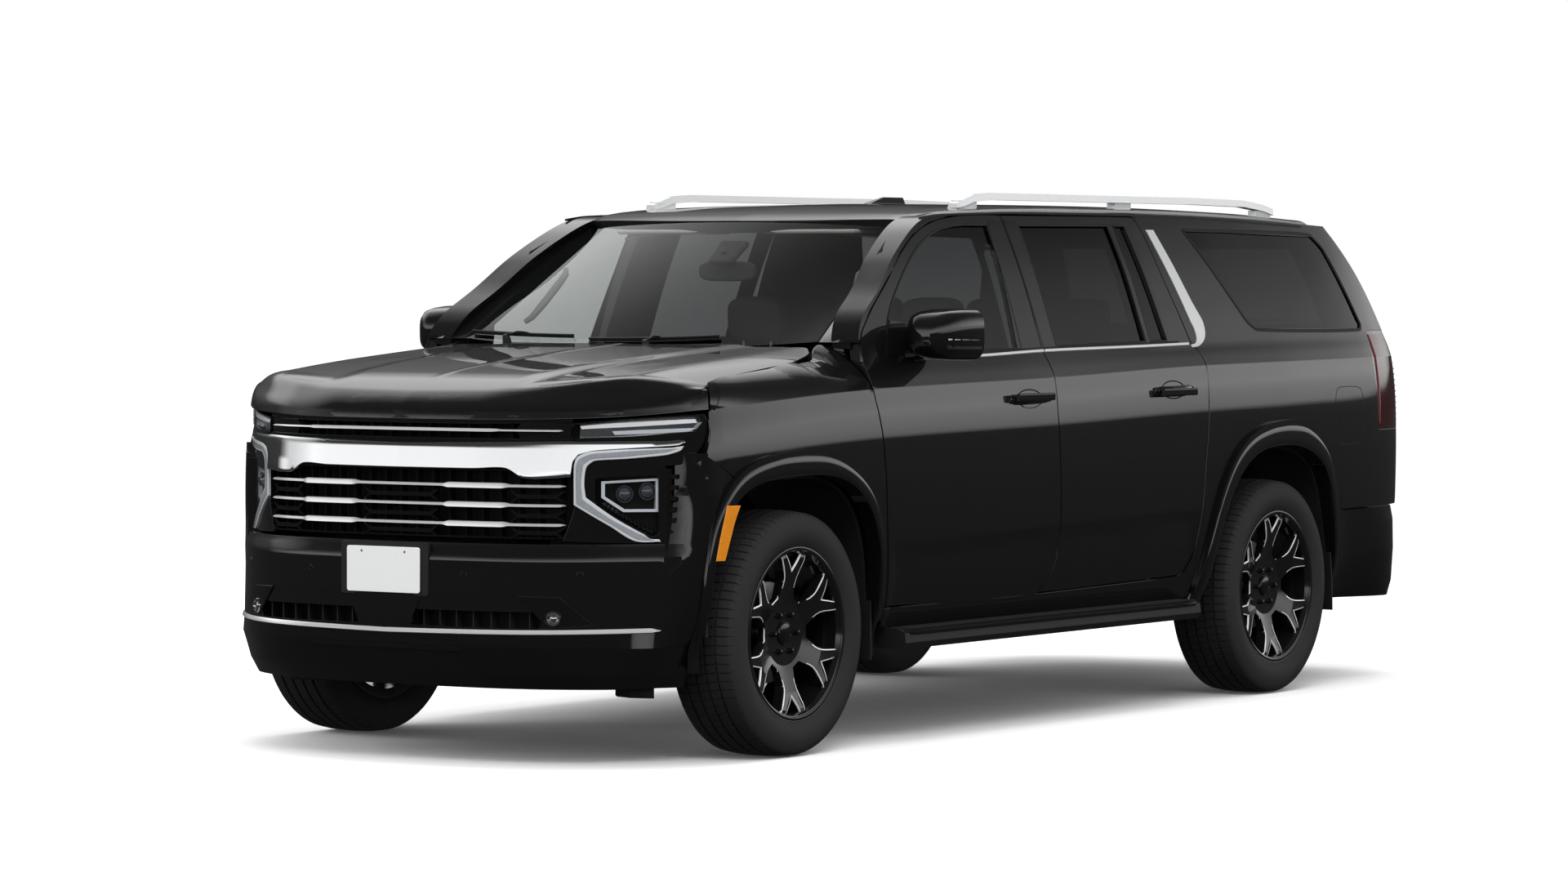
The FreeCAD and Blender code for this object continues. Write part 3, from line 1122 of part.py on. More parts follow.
def main():
    os.makedirs("parts", exist_ok=True)
    front, rear = door_outlines()
    roof_panel = roof()
    left = body_side(roof_panel)
    save("body_side_left", left)
    save("body_side_right", mirror(left))
    pane = side_slab(stations(1050, 2450, 1500, 2000, 2300), lambda y: 1395, lambda y: 1840, 4, 4 + GLASS_THICKNESS)
    save("quarter_glass", both(pane.common(side_cutter(offset_outline(QUARTER_WINDOW, -SEAT_GAP)))))
    front_leaf = one([door(front, FRONT_HINGE_Y, [FRONT_WINDOW])] + door_handle(-374))
    rear_leaf = one([door(rear, REAR_HINGE_Y, [REAR_WINDOW, REAR_DOOR_LIGHT])] + door_handle(676))
    save("door_front_left", front_leaf)
    save("door_front_right", mirror(front_leaf))
    save("door_rear_left", rear_leaf)
    save("door_rear_right", mirror(rear_leaf))
    front_pane = door_glass([FRONT_WINDOW])
    rear_pane = door_glass([REAR_WINDOW, REAR_DOOR_LIGHT])
    save("glass_front_left", front_pane)
    save("glass_front_right", mirror(front_pane))
    save("glass_rear_left", rear_pane)
    save("glass_rear_right", mirror(rear_pane))
    unit = mirror_unit().cut(front_leaf)
    save("mirror_left", unit)
    save("mirror_right", mirror(unit))
    hood_panel = hood()
    save("hood", hood_panel)
    save("front_fenders", both(fender()))
    save("front_bumper", front_bumper())
    save("grille", grille())
    save("headlamps", both(headlamp()))
    save("windscreen", windscreen())
    save("roof", join([roof_panel, antenna()]))
    save("liftgate", liftgate())
    save("liftgate_glass", liftgate_glass())
    save("tail_lamps", both(tail_lamp()))
    save("rear_bumper", rear_bumper())
    save("cowl", cowl(hood_panel))
    save("roof_rails", both(roof_rail(roof_panel)))
    save("running_boards", solids(running_board(1), running_board(-1)))
    save("chassis_frame", chassis())
    save("floor_pan", floor())
    save("wheel_liners", solids(
        both(wheelhouse(FRONT_ARCH, FRONT_AXLE_Y, 560, 955)), both(wheelhouse(REAR_ARCH, REAR_AXLE_Y, 645, 955)),
        both(mud_flap(FRONT_AXLE_Y, FRONT_FLAP)), both(mud_flap(REAR_AXLE_Y, REAR_FLAP)),
    ))
    save("engine_block", one([box(-ENGINE_HALF, ENGINE_HALF, -2350, -1560, 580, 1100), box(-180, 180, -1560, -1440, 600, 900)]))
    save("radiator", radiator())
    save("fuel_tank", fuel_tank())
    save("dashboard", dashboard())
    save("steering_wheel", steering_wheel())
    floor_top = FLOOR_Z + 26 + SEAT_GAP
    save("seats_front", solids(seat(COLUMN_X, 520, -420, floor_top, 740), seat(-COLUMN_X, 520, -420, floor_top, 740)))
    rear_floor = FLOOR_Z + 126 + SEAT_GAP
    save("seats_rear", solids(
        seat(COLUMN_X, 500, 400, floor_top, 740), seat(-COLUMN_X, 500, 400, floor_top, 740),
        seat(0, 1200, 1330, rear_floor, 640),
    ))
    tyre_shape, wheel_shape = tyre(), wheel()
    places = (
        ("front_left", 1, FRONT_AXLE_Y, TRACK_FRONT), ("front_right", -1, FRONT_AXLE_Y, TRACK_FRONT),
        ("rear_left", 1, REAR_AXLE_Y, TRACK_REAR), ("rear_right", -1, REAR_AXLE_Y, TRACK_REAR),
    )
    for name, side, y, track in places:
        save("wheel_" + name, placed_wheel(wheel_shape, side, y, track))
        save("tyre_" + name, placed_wheel(tyre_shape, side, y, track))
    upright = knuckle()
    save("knuckle_left", upright)
    save("knuckle_right", mirror(upright))
    linkage, middle = front_suspension()
    save("suspension_front", solids(*middle, *[both(piece) for piece in linkage]))
    save("suspension_rear", rear_suspension())
    muffler = box(-380, -160, 760, 1240, 330, 470)
    muffler = muffler.makeFillet(50, [e for e in muffler.Edges if abs(e.Length - 480) < 1])
    pipe_z = 400 - 34 - SEAT_GAP
    save("exhaust", one([muffler, tube(V(-300, -1400, pipe_z), V(-300, 800, pipe_z), 34)]))


main()
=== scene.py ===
import bmesh
import bpy
import math
import numpy as np
from mathutils import Vector, Matrix
from mathutils.geometry import delaunay_2d_cdt


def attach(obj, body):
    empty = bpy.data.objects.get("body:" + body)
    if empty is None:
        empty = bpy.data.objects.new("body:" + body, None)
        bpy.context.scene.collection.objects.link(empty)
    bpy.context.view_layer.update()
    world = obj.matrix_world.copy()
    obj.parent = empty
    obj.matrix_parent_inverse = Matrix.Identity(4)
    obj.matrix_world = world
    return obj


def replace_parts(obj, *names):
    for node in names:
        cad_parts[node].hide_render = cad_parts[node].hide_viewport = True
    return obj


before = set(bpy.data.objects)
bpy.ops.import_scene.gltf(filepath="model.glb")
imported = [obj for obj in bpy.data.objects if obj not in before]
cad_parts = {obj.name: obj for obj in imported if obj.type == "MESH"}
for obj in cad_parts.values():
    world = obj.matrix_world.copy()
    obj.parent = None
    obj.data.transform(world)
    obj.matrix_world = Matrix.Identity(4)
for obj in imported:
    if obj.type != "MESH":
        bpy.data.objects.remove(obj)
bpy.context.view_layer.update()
MM = 0.001
OUT, AHEAD, BEHIND, UP = (1.0, 0.0, 0.0), (0.0, -1.0, 0.0), (0.0, 1.0, 0.1), (0.0, 0.0, 1.0)
BODY_PAIR = ("body", "body")
FRONT_DOORS = ("door_front_left", "door_front_right")
REAR_DOORS = ("door_rear_left", "door_rear_right")


# Curves and loops
def hermite(p, q, leave, arrive, s):
    """Cubic from p to q with a tangent at each end."""
    return (
        p * (1 + 2 * s) * (1 - s) ** 2 + leave * s * (1 - s) ** 2
        + q * s * s * (3 - 2 * s) + arrive * s * s * (s - 1)
    )


def unit(v):
    """Vectors along the last axis, scaled to length one."""
    return v / (np.linalg.norm(v, axis=-1, keepdims=True) + 1e-9)


def smooth_step(t):
    t = np.clip(t, 0, 1)
    return t * t * (3 - 2 * t)


def curve(*knots):
    """Smooth function through (t, value) knots, with no overshoot. Takes numbers or arrays."""
    ts, vs = np.array(knots, float).T
    h = np.diff(ts)
    steps = np.diff(vs) / h
    slopes = np.empty(len(ts))
    slopes[0], slopes[-1] = steps[0], steps[-1]
    for i in range(1, len(ts) - 1):
        a, b = steps[i - 1], steps[i]
        slopes[i] = 0.0 if a * b <= 0 else 2 * a * b / (a + b)

    def value(t):
        t = np.asarray(t, float)
        i = np.clip(np.searchsorted(ts, t, side="right") - 1, 0, len(h) - 1)
        s = np.clip((t - ts[i]) / h[i], 0, 1)
        below = np.minimum(t - ts[0], 0) * slopes[0]
        above = np.maximum(t - ts[-1], 0) * slopes[-1]
        return hermite(vs[i], vs[i + 1], slopes[i] * h[i], slopes[i + 1] * h[i], s) + below + above

    return value


def spline_rows(points, per):
    """Smooth open curve through the points with the same number of steps in each span."""
    pts = np.array(points, float)
    tangents = np.gradient(pts, axis=0)
    spans = range(len(pts) - 1)
    rows = [
        hermite(pts[i], pts[i + 1], tangents[i], tangents[i + 1], k / per) for i in spans for k in range(per)
    ]
    return np.array(rows + [pts[-1]])


def smooth_loop(points, spacing, sharp=55.0, closed=True):
    """Round a closed or open outline between its sharp corners and space its points evenly."""
    pts = np.array(points, float)
    n = len(pts)

    def spans(i):
        return pts[i] - pts[i - 1], pts[(i + 1) % n] - pts[i]

    def is_sharp(i):
        if not closed and i in (0, n - 1):
            return True
        a, b = spans(i)
        cosine = np.dot(a, b) / (np.linalg.norm(a) * np.linalg.norm(b) + 1e-9)
        return math.degrees(math.acos(np.clip(cosine, -1, 1))) > sharp

    def tangent(i, leaving):
        a, b = spans(i)
        if corner[i]:
            return b if leaving else a
        la, lb = np.linalg.norm(a), np.linalg.norm(b)
        return unit((a / la * lb + b / lb * la) / (la + lb)) * min(lb if leaving else la, 1.3 * min(la, lb))

    corner = [is_sharp(i) for i in range(n)]
    out = []
    for i in range(n if closed else n - 1):
        j = (i + 1) % n
        leave, arrive = tangent(i, True), tangent(j, False)
        steps = max(1, int(round(np.linalg.norm(pts[j] - pts[i]) / spacing)))
        out += [hermite(pts[i], pts[j], leave, arrive, k / steps) for k in range(steps)]
    return np.array(out if closed else out + [pts[-1]])


def signed_area(loop):
    """Twice the area of a closed loop, above zero where it runs anticlockwise."""
    after = np.roll(loop, -1, 0)
    return np.sum(loop[:, 0] * after[:, 1] - after[:, 0] * loop[:, 1])


def offset_loop(loop, distance):
    """Move a closed loop outwards. Gives the loop and the outward direction at each point."""
    sign = 1.0 if signed_area(loop) > 0 else -1.0
    sides = [unit(loop - np.roll(loop, 1, 0)), unit(np.roll(loop, -1, 0) - loop)]
    na, nb = (sign * np.stack([way[:, 1], -way[:, 0]], 1) for way in sides)
    n = unit(na + nb)
    return loop + n * distance / np.clip((n * na).sum(1, keepdims=True), 0.5, 1), n


def inset(points, distance):
    return offset_loop(np.array(points, float), -distance)[0]


def inside(points, loop):
    """Which points lie within a closed loop."""
    x, y = points.T
    result = np.zeros(len(points), bool)
    for (x0, y0), (x1, y1) in zip(loop, np.roll(loop, -1, 0)):
        if y0 != y1:
            result ^= ((y0 > y) != (y1 > y)) & (x < (x1 - x0) * (y - y0) / (y1 - y0) + x0)
    return result


def near(points, loop, distance):
    """Which points lie close to a loop's own points."""
    parts = np.array_split(points, 1 + len(points) // 2000)
    gaps = [np.sqrt(((part[:, None] - loop[None]) ** 2).sum(-1)).min(1) for part in parts]
    return np.concatenate(gaps) < distance


def mirror_outline(half):
    """Closed outline from its right half, which starts and ends on the centre line."""
    return half + [(-x, z) for x, z in half[::-1] if x > 0]


def round_points(centre, radii, count, start=0.0, stop=360.0):
    """Points of an ellipse, without its last one."""
    turns = np.radians(np.linspace(start, stop, count, endpoint=False))
    return [(centre[0] + radii[0] * math.cos(a), centre[1] + radii[1] * math.sin(a)) for a in turns]


# Meshes, in millimetres
def make_mesh(name, verts, faces, normals, mat, body="body"):
    mesh = bpy.data.meshes.new(name)
    mesh.from_pydata(
        [tuple(v) for v in np.asarray(verts, float) * MM], [], [tuple(int(i) for i in f) for f in faces]
    )
    mesh.shade_smooth()
    if normals is not None:
        mesh.normals_split_custom_set_from_vertices([tuple(n) for n in normals])
    obj = bpy.data.objects.new(name, mesh)
    bpy.context.scene.collection.objects.link(obj)
    mesh.materials.append(mat)
    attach(obj, body)
    return obj


def solid(name, mesh, mat, slot, body="body", angle=32.0, bevel=0.0, segments=2):
    """Closed piece from (verts, faces), with its normals outward, bevelled edges and sharp edges marked."""
    obj = make_mesh(name, *mesh, None, mat, body)
    bm = bmesh.new()
    bm.from_mesh(obj.data)
    bmesh.ops.recalc_face_normals(bm, faces=bm.faces)
    bm.to_mesh(obj.data)
    bm.free()
    if bevel:
        mod = obj.modifiers.new("bevel", "BEVEL")
        mod.width = bevel * MM
        mod.segments = segments
        mod.limit_method = "ANGLE"
        mod.angle_limit = math.radians(angle)
        mod.harden_normals = False
    obj.data.set_sharp_from_angle(angle=math.radians(40.0 if bevel else angle))
    return obj


def solid_pair(name, mesh, mat, slot, bodies=BODY_PAIR, label="", **how):
    """Solid on the left and its mirror image on the right."""
    pair = []
    for word, flip, body in zip(("left", "right"), (1, -1), bodies):
        flipped = np.array(mesh[0], float) * (flip, 1, 1), [list(f)[::flip] for f in mesh[1]]
        pair.append(solid("%s_%s%s" % (name, word, label), flipped, mat, slot, body, **how))
    return pair


def skin(name, mesh, mat, body="body"):
    """Open panel from (verts, faces, normals)."""
    obj = make_mesh(name, *mesh, mat, body)
    return obj


def skin_pair(name, mesh, mat, bodies=BODY_PAIR):
    """Open panel on the left and its mirror image on the right."""
    verts, faces, normals = mesh
    flip = (-1.0, 1.0, 1.0)
    flipped = verts * flip, [f[::-1] for f in faces], normals * flip
    return skin(name + "_left", mesh, mat, bodies[0]), skin(
        name + "_right", flipped, mat, bodies[1],
    )


def gather(parts):
    """Join several meshes into one."""
    verts, faces, total = [], [], 0
    for v, f in parts:
        verts.append(np.asarray(v, float))
        faces.extend([i + total for i in face] for face in f)
        total += len(v)
    return np.concatenate(verts), faces


def ring_faces(rings, m, closed=False, caps=True):
    """Quads between neighbouring rings of m points, and the end rings themselves where caps is set."""
    faces = []
    for i in range(rings if closed else rings - 1):
        a, b = i * m, (i + 1) % rings * m
        faces += [[a + j, a + (j + 1) % m, b + (j + 1) % m, b + j] for j in range(m)]
    if caps and not closed:
        faces += [list(range(m)), [(rings - 1) * m + j for j in range(m)]]
    return faces


def box_mesh(x0, x1, y0, y1, z0, z1):
    verts = [(x, y, z) for x in (x0, x1) for y in (y0, y1) for z in (z0, z1)]
    return verts, [(0, 1, 3, 2), (4, 6, 7, 5), (0, 4, 5, 1), (2, 3, 7, 6), (0, 2, 6, 4), (1, 5, 7, 3)]


def prism_xz(outline, y_front, depth):
    """Flat outline in (x, z) with its front at y_front(x), pushed back."""
    front = [(x, y_front(x), z) for x, z in outline]
    return front + [(x, y + depth, z) for x, y, z in front], ring_faces(2, len(outline))


def revolve(profile, centre, axis, segments=40):
    """Solid of revolution: profile is (radius, along axis)."""
    axis = Vector(axis).normalized()
    across = axis.orthogonal().normalized()
    other = axis.cross(across)
    verts, faces = [], []
    m = len(profile)
    for k in range(segments):
        a = 2 * math.pi * k / segments
        way = across * math.cos(a) + other * math.sin(a)
        verts += [tuple(Vector(centre) + way * radius + axis * along) for radius, along in profile]
        n = (k + 1) % segments
        faces += [[k * m + j, k * m + j + 1, n * m + j + 1, n * m + j] for j in range(m - 1)]
        if profile[0][0] > 0 and profile[-1][0] > 0 and profile[0] != profile[-1]:
            faces.append([k * m + m - 1, k * m, n * m, n * m + m - 1])
    return verts, faces


def sweep_mesh(path, normals, section, closed=False):
    """Section (across, height) pushed along a path whose normals give the height direction."""
    path = np.asarray(path, float)
    t = unit(np.roll(path, -1, 0) - np.roll(path, 1, 0) if closed else np.gradient(path, axis=0))
    b = unit(np.cross(np.asarray(normals, float), t))
    n = np.cross(t, b)
    verts = []
    for i, point in enumerate(path):
        shape = section(i) if callable(section) else section
        verts += [point + b[i] * across + n[i] * height for across, height in shape]
    return np.array(verts), ring_faces(len(path), len(verts) // len(path), closed)


def tube(path, radii, sides=10, flat=1.0):
    """Round bar along a path, flattened in height where flat is under 1."""
    radii = radii if isinstance(radii, list) else [radii] * len(path)
    turns = [2 * math.pi * k / sides for k in range(sides)]
    ups = np.tile(UP, (len(path), 1))
    return sweep_mesh(
        path, ups, lambda i: [(radii[i] * math.cos(a), radii[i] * math.sin(a) * flat) for a in turns]
    )


def normals_of(surface, u, v, outward, step=1.5):
    """Unit normals of a surface given by two parameters, facing one way."""
    a = surface(u + step, v) - surface(u - step, v)
    b = surface(u, v + step) - surface(u, v - step)
    n = np.cross(a, b)
    n /= np.linalg.norm(n, axis=-1, keepdims=True) + 1e-12
    flip = np.sign((n * np.asarray(outward, float)).sum(-1, keepdims=True))
    return n * np.where(flip == 0, 1, flip)


def surface_point(surface, u, v, outward, lift=0.0):
    """Point on a surface and the normal there."""
    u, v = np.array([float(u)]), np.array([float(v)])
    n = normals_of(surface, u, v, outward)[0]
    return surface(u, v)[0] + n * lift, n


def surface_ribbon(surface, outward, points, half, proud, base, spacing, sharp, closed):
    """Strip that lies on a surface along a line of its parameters."""
    path = smooth_loop(points, spacing, sharp, closed)
    n = normals_of(surface, path[:, 0], path[:, 1], outward)
    crown = half * (0.45 if surface is side else 0.4)
    shoulder = base + proud * (0.55 if surface is side else 0.5)
    top = base + proud
    section = [
        (-half, base - 2), (half, base - 2), (half, shoulder), (crown, top), (-crown, top), (-half, shoulder),
    ]
    return sweep_mesh(surface(path[:, 0], path[:, 1]), n, section, closed)


def grid_points(lo, hi, spacing, follow):
    """Points of a grid over a panel; with follow its rows run along a crease, one close on each side."""
    us = np.arange(lo[0], hi[0], spacing)
    if not follow:
        return np.stack(np.meshgrid(us, np.arange(lo[1], hi[1], spacing)), -1).reshape(-1, 2)
    reach = math.ceil((hi[1] - lo[1]) / spacing) + 14
    levels = [k * spacing for k in range(-reach, reach + 1) if k] + [-2.0, 2.0]
    return np.array([(u, level + float(follow(u))) for u in us for level in levels])


def within(points, loops):
    """Which points lie in the first ring and in none of the others."""
    keep = inside(points, loops[0])
    for ring in loops[1:]:
        keep &= ~inside(points, ring)
    return keep


def faced(verts, normals, faces):
    """Faces without the empty ones, each turned to the side of its normals."""
    fixed = []
    for f in faces:
        p = verts[f]
        first, last = np.cross(p[1] - p[0], p[-1] - p[0]), np.cross(p[2] - p[1], p[0] - p[1])
        if np.linalg.norm(first) + np.linalg.norm(last) < 1e-6:
            continue
        way = np.cross(p[1] - p[0], p[2] - p[0])
        if len(f) == 4:
            way = way + np.cross(p[2] - p[0], p[3] - p[0])
        fixed.append(f if (way * normals[f].sum(0)).sum() >= 0 else f[::-1])
    return fixed


def panel_mesh(
    surface, outward, outline, holes=(), spacing=26.0, edge=1.6, flange=24.0, step=12.0, lift=0.0, sharp=55.0,
    follow=None,
):
    """Dense panel on a surface, with rolled edges and a return flange round it and round each hole."""
    loops = []
    for points, out in [(outline, 1)] + [(h, -1) for h in holes]:
        loop = smooth_loop(points, step, sharp)
        loops.append((loop, offset_loop(loop, -edge * out)[0], offset_loop(loop, 1)[1] * out))
    rings = [ring for _, ring, _ in loops]
    grid = grid_points(loops[0][0].min(0), loops[0][0].max(0), spacing, follow)
    grid = grid[within(grid, rings)]
    for ring in rings:
        grid = grid[~near(grid, ring, spacing * 0.45)]
    points, edges, marks = [tuple(p) for p in grid], [], []
    for ring in rings:
        first, count = len(points), len(ring)
        points += [tuple(p) for p in ring]
        edges += [(first + i, first + (i + 1) % count) for i in range(count)]
        marks.append(first)
    cut_verts, _, cut_faces, sources, _, _ = delaunay_2d_cdt([Vector(p) for p in points], edges, [], 0, 0.01)
    flat = np.array([tuple(v) for v in cut_verts])
    tri = np.array([tuple(f) for f in cut_faces])
    tri = tri[within(flat[tri].mean(1), rings)]
    n = normals_of(surface, flat[:, 0], flat[:, 1], outward)
    base = surface(flat[:, 0], flat[:, 1]) + n * lift
    a, b, c = base[tri].transpose(1, 0, 2)
    flipped = (np.cross(b - a, c - a) * n[tri[:, 0]]).sum(1) < 0
    faces = np.where(flipped[:, None], tri[:, ::-1], tri).tolist()
    verts, normals, total = [base], [n], len(base)
    new_index = {s: i for i, found in enumerate(sources) for s in found}
    for (loop, ring, way), first in zip(loops, marks):
        count = len(loop)
        previous = [new_index.get(first + i) for i in range(count)]
        if None in previous:
            previous = [int(np.argmin(((flat - point) ** 2).sum(1))) for point in ring]
        on_loop = surface(loop[:, 0], loop[:, 1])
        nn = normals_of(surface, loop[:, 0], loop[:, 1], outward)
        du = unit(surface(loop[:, 0] + way[:, 0], loop[:, 1] + way[:, 1]) - on_loop)
        p0 = on_loop + nn * lift
        rows = (
            (p0 - (du + nn) * edge * 0.3, (nn + du) * 0.707), (p0 - nn * edge, du), (p0 - nn * flange, du),
        )
        for points3, normals3 in rows:
            verts.append(points3)
            normals.append(normals3)
            row = list(range(total, total + count))
            total += count
            faces += [
                [previous[i], previous[(i + 1) % count], row[(i + 1) % count], row[i]] for i in range(count)
            ]
            previous = row
    verts, normals = np.concatenate(verts), np.concatenate(normals)
    return verts, faced(verts, normals, faces), normals


# Materials
def node(tree, kind, **values):
    """New shader node with values for its inputs."""
    made = tree.nodes.new("ShaderNode" + kind)
    for key, value in values.items():
        made.inputs[key.replace("_", " ")].default_value = value
    return made


def wire(tree, *links):
    """Connect (node, output, node, input) rows."""
    for source, output, target, socket in links:
        tree.links.new(source.outputs[output], target.inputs[socket])


def ramp(tree, *stops):
    """Colour ramp through (position, colour) stops, where a number stands for a grey."""
    made = node(tree, "ValToRGB")
    elements = made.color_ramp.elements
    elements[0].position, elements[1].position = stops[0][0], stops[-1][0]
    for position, _ in stops[1:-1]:
        elements.new(position)
    for stop, (_, color) in zip(elements, stops):
        stop.color = rgba(color)
    return made


def rgba(color):
    return (color, color, color, 1) if isinstance(color, float) else tuple(color) + (1,)


def blank_tree(owner):
    owner.use_nodes = True
    owner.node_tree.nodes.clear()
    return owner.node_tree


def material(
    name, color, rough, metal=0.0, coat=0.0, bump=0.1, scale=60.0, vary=0.06, stretch=(1, 1, 1), spec=0.5,
    cells=False,
):
    """Procedural surface: fine grain in the colour, the roughness and the relief."""
    mat = bpy.data.materials.new(name)
    mat.use_nodes = True
    tree = mat.node_tree
    shader = tree.nodes["Principled BSDF"]
    grain = node(tree, "TexVoronoi" if cells else "TexNoise", Scale=scale)
    source = "Distance" if cells else "Fac"
    if not cells:
        grain.inputs["Detail"].default_value = 4.0
    place, mapping = node(tree, "TexCoord"), node(tree, "Mapping", Scale=stretch)
    dark, light = [c * (1 - vary) for c in color], [min(1, c * (1 + vary)) for c in color]
    tint = ramp(tree, (0.3, dark), (0.7, light))
    spread = node(tree, "MapRange", To_Min=rough * (1 - vary), To_Max=min(1.0, rough * (1 + vary)))
    relief = node(tree, "Bump", Strength=bump, Distance=0.0004)
    wire(
        tree, (place, "Object", mapping, "Vector"), (mapping, "Vector", grain, "Vector"),
        (grain, source, tint, "Fac"),
        (tint, "Color", shader, "Base Color"), (grain, source, spread, "Value"),
        (spread, "Result", shader, "Roughness"),
        (grain, source, relief, "Height"), (relief, "Normal", shader, "Normal"),
    )
    shader.inputs["Metallic"].default_value = metal
    shader.inputs["Coat Weight"].default_value = coat
    shader.inputs["Coat Roughness"].default_value = 0.01
    shader.inputs["Coat IOR"].default_value = 1.75 if coat == 1.0 else 1.5
    shader.inputs["Specular IOR Level"].default_value = spec
    return mat


def glass(name, color, spec):
    """Thin glass: a tinted see-through sheet with a mirror sheen on its outer side."""
    mat = bpy.data.materials.new(name)
    tree = blank_tree(mat)
    out, mix, through = node(tree, "OutputMaterial"), node(tree, "MixShader"), node(tree, "BsdfTransparent")
    sheen = node(tree, "BsdfGlossy", Roughness=0.0, Color=(spec, spec, spec, 1))
    fresnel, outer, place = node(tree, "Fresnel", IOR=1.52), node(tree, "NewGeometry"), node(tree, "TexCoord")
    grain, tint = node(tree, "TexNoise", Scale=9.0), ramp(
        tree, (0.0, [c * 0.97 for c in color]), (1.0, color)
    )
    front_only = node(tree, "Math")
    front_only.operation = "SUBTRACT"
    front_only.use_clamp = True
    wire(
        tree, (place, "Object", grain, "Vector"), (grain, "Fac", tint, "Fac"),
        (tint, "Color", through, "Color"),
        (fresnel, "Fac", front_only, 0), (outer, "Backfacing", front_only, 1),
        (front_only, "Value", mix, "Fac"),
        (through, "BSDF", mix, 1), (sheen, "BSDF", mix, 2), (mix, "Shader", out, "Surface"),
    )
    return mat


BRIGHT_METAL = (0.86, 0.87, 0.88)
PAINT = material("black_paint", (0.0035, 0.0035, 0.004), 0.34, 0.0, 1.0, 0.002, 900, 0.2, spec=0.06)
GLOSS = material("gloss_black", (0.004, 0.004, 0.0045), 0.12, 0.0, 0.6, 0.003, 700, 0.2)
CHROME = material("chrome", BRIGHT_METAL, 0.045, 1.0, 0.0, 0.003, 400, 0.03)
TRIM_BRIGHT = material("bright_trim", BRIGHT_METAL, 0.08, 0.55, 0.0, 0.003, 400, 0.03)
SATIN = material("satin_rail", (0.78, 0.79, 0.8), 0.24, 0.4, 0.0, 0.05, 500, 0.05, (1, 0.05, 1))
PLASTIC = material("black_plastic", (0.012, 0.012, 0.013), 0.52, 0.0, 0.0, 0.5, 900, 0.15)
# Near-black with weak specular, darker than the black plastic: the real black of vents and radiator, with
# painted shade for the insides of cavities, slots and holes
CAVITY_SHADE_BLACK = material("black_with_painted_cavity_shade", (0.004, 0.004, 0.004), 0.6, 0.0, 0.0, 0.3, 500, 0.2, spec=0.2)
RUBBER = material("rubber", (0.023, 0.023, 0.024), 0.68, 0.0, 0.0, 0.5, 700, 0.2)
SEAL = material("seal_rubber", (0.006, 0.006, 0.006), 0.55, 0.0, 0.0, 0.3, 700, 0.2)
WHEEL_BLACK = material("wheel_black", (0.006, 0.006, 0.0065), 0.16, 0.0, 0.8, 0.004, 500, 0.2)
MACHINED = material("machined", (0.95, 0.955, 0.96), 0.26, 0.12, 0.0, 0.06, 600, 0.06)
IRON = material("cast_iron", (0.05, 0.048, 0.046), 0.55, 0.6, 0.0, 0.9, 220, 0.25)
DISC = material("brake_disc", (0.33, 0.33, 0.34), 0.34, 1.0, 0.0, 0.5, 350, 0.15)
STEEL = material("steel", (0.33, 0.33, 0.34), 0.36, 0.9, 0.0, 0.2, 200, 0.12)
CHASSIS = material("chassis_black", (0.013, 0.013, 0.014), 0.45, 0.0, 0.0, 0.4, 150, 0.2)
TRIM = material("cabin_trim", (0.022, 0.021, 0.021), 0.6, 0.0, 0.0, 1.0, 520, 0.15, cells=True)
TRIM_LIGHT = material("cabin_trim_grey", (0.11, 0.105, 0.1), 0.6, 0.0, 0.0, 0.8, 520, 0.12, cells=True)
SEAT = material("seat_leather", (0.045, 0.042, 0.04), 0.5, 0.0, 0.0, 1.6, 420, 0.15, cells=True)
HEADLINER = material("headliner", (0.3, 0.29, 0.27), 0.9, 0.0, 0.0, 1.2, 700, 0.08)
CLEAR = glass("windscreen_glass", (0.9, 0.92, 0.91), 0.9)
TINTED = glass("tinted_glass", (0.29, 0.295, 0.3), 0.95)
DOOR_TINT = glass("front_door_glass", (0.62, 0.63, 0.63), 0.95)
LAMP_CLEAR = glass("lamp_glass", (0.93, 0.94, 0.95), 1.0)
REFLECTOR = material("lamp_reflector", (0.75, 0.76, 0.78), 0.12, 1.0, 0.0, 0.1, 200, 0.05)
LIGHT_GUIDE = material("light_guide", (0.62, 0.65, 0.68), 0.18, 0.0, 0.8, 0.1, 300, 0.04)
GUIDE_GREY = material("light_guide_core", (0.3, 0.32, 0.34), 0.2, 0.0, 0.9, 0.2, 260, 0.12, (1, 1, 0.2))
LENS = material("projector_lens", (0.05, 0.055, 0.065), 0.03, 0.0, 1.0, 0.01, 90, 0.1)
RED = material("red_lens", (0.16, 0.006, 0.008), 0.12, 0.0, 1.0, 0.4, 260, 0.15, cells=True)
DARK_RED = material("dark_red_lens", (0.045, 0.003, 0.004), 0.1, 0.0, 1.0, 0.15, 260, 0.15)
AMBER = material("amber_lens", (0.85, 0.28, 0.01), 0.16, 0.0, 1.0, 0.8, 300, 0.12, cells=True)
LAMP_STRIP = material("mirror_lamp_strip", (0.5, 0.52, 0.54), 0.1, 0.0, 1.0, 0.5, 380, 0.15, cells=True)
PLATE_WHITE = material("plate_white", (0.93, 0.935, 0.94), 0.34, 0.0, 0.4, 0.2, 500, 0.02)

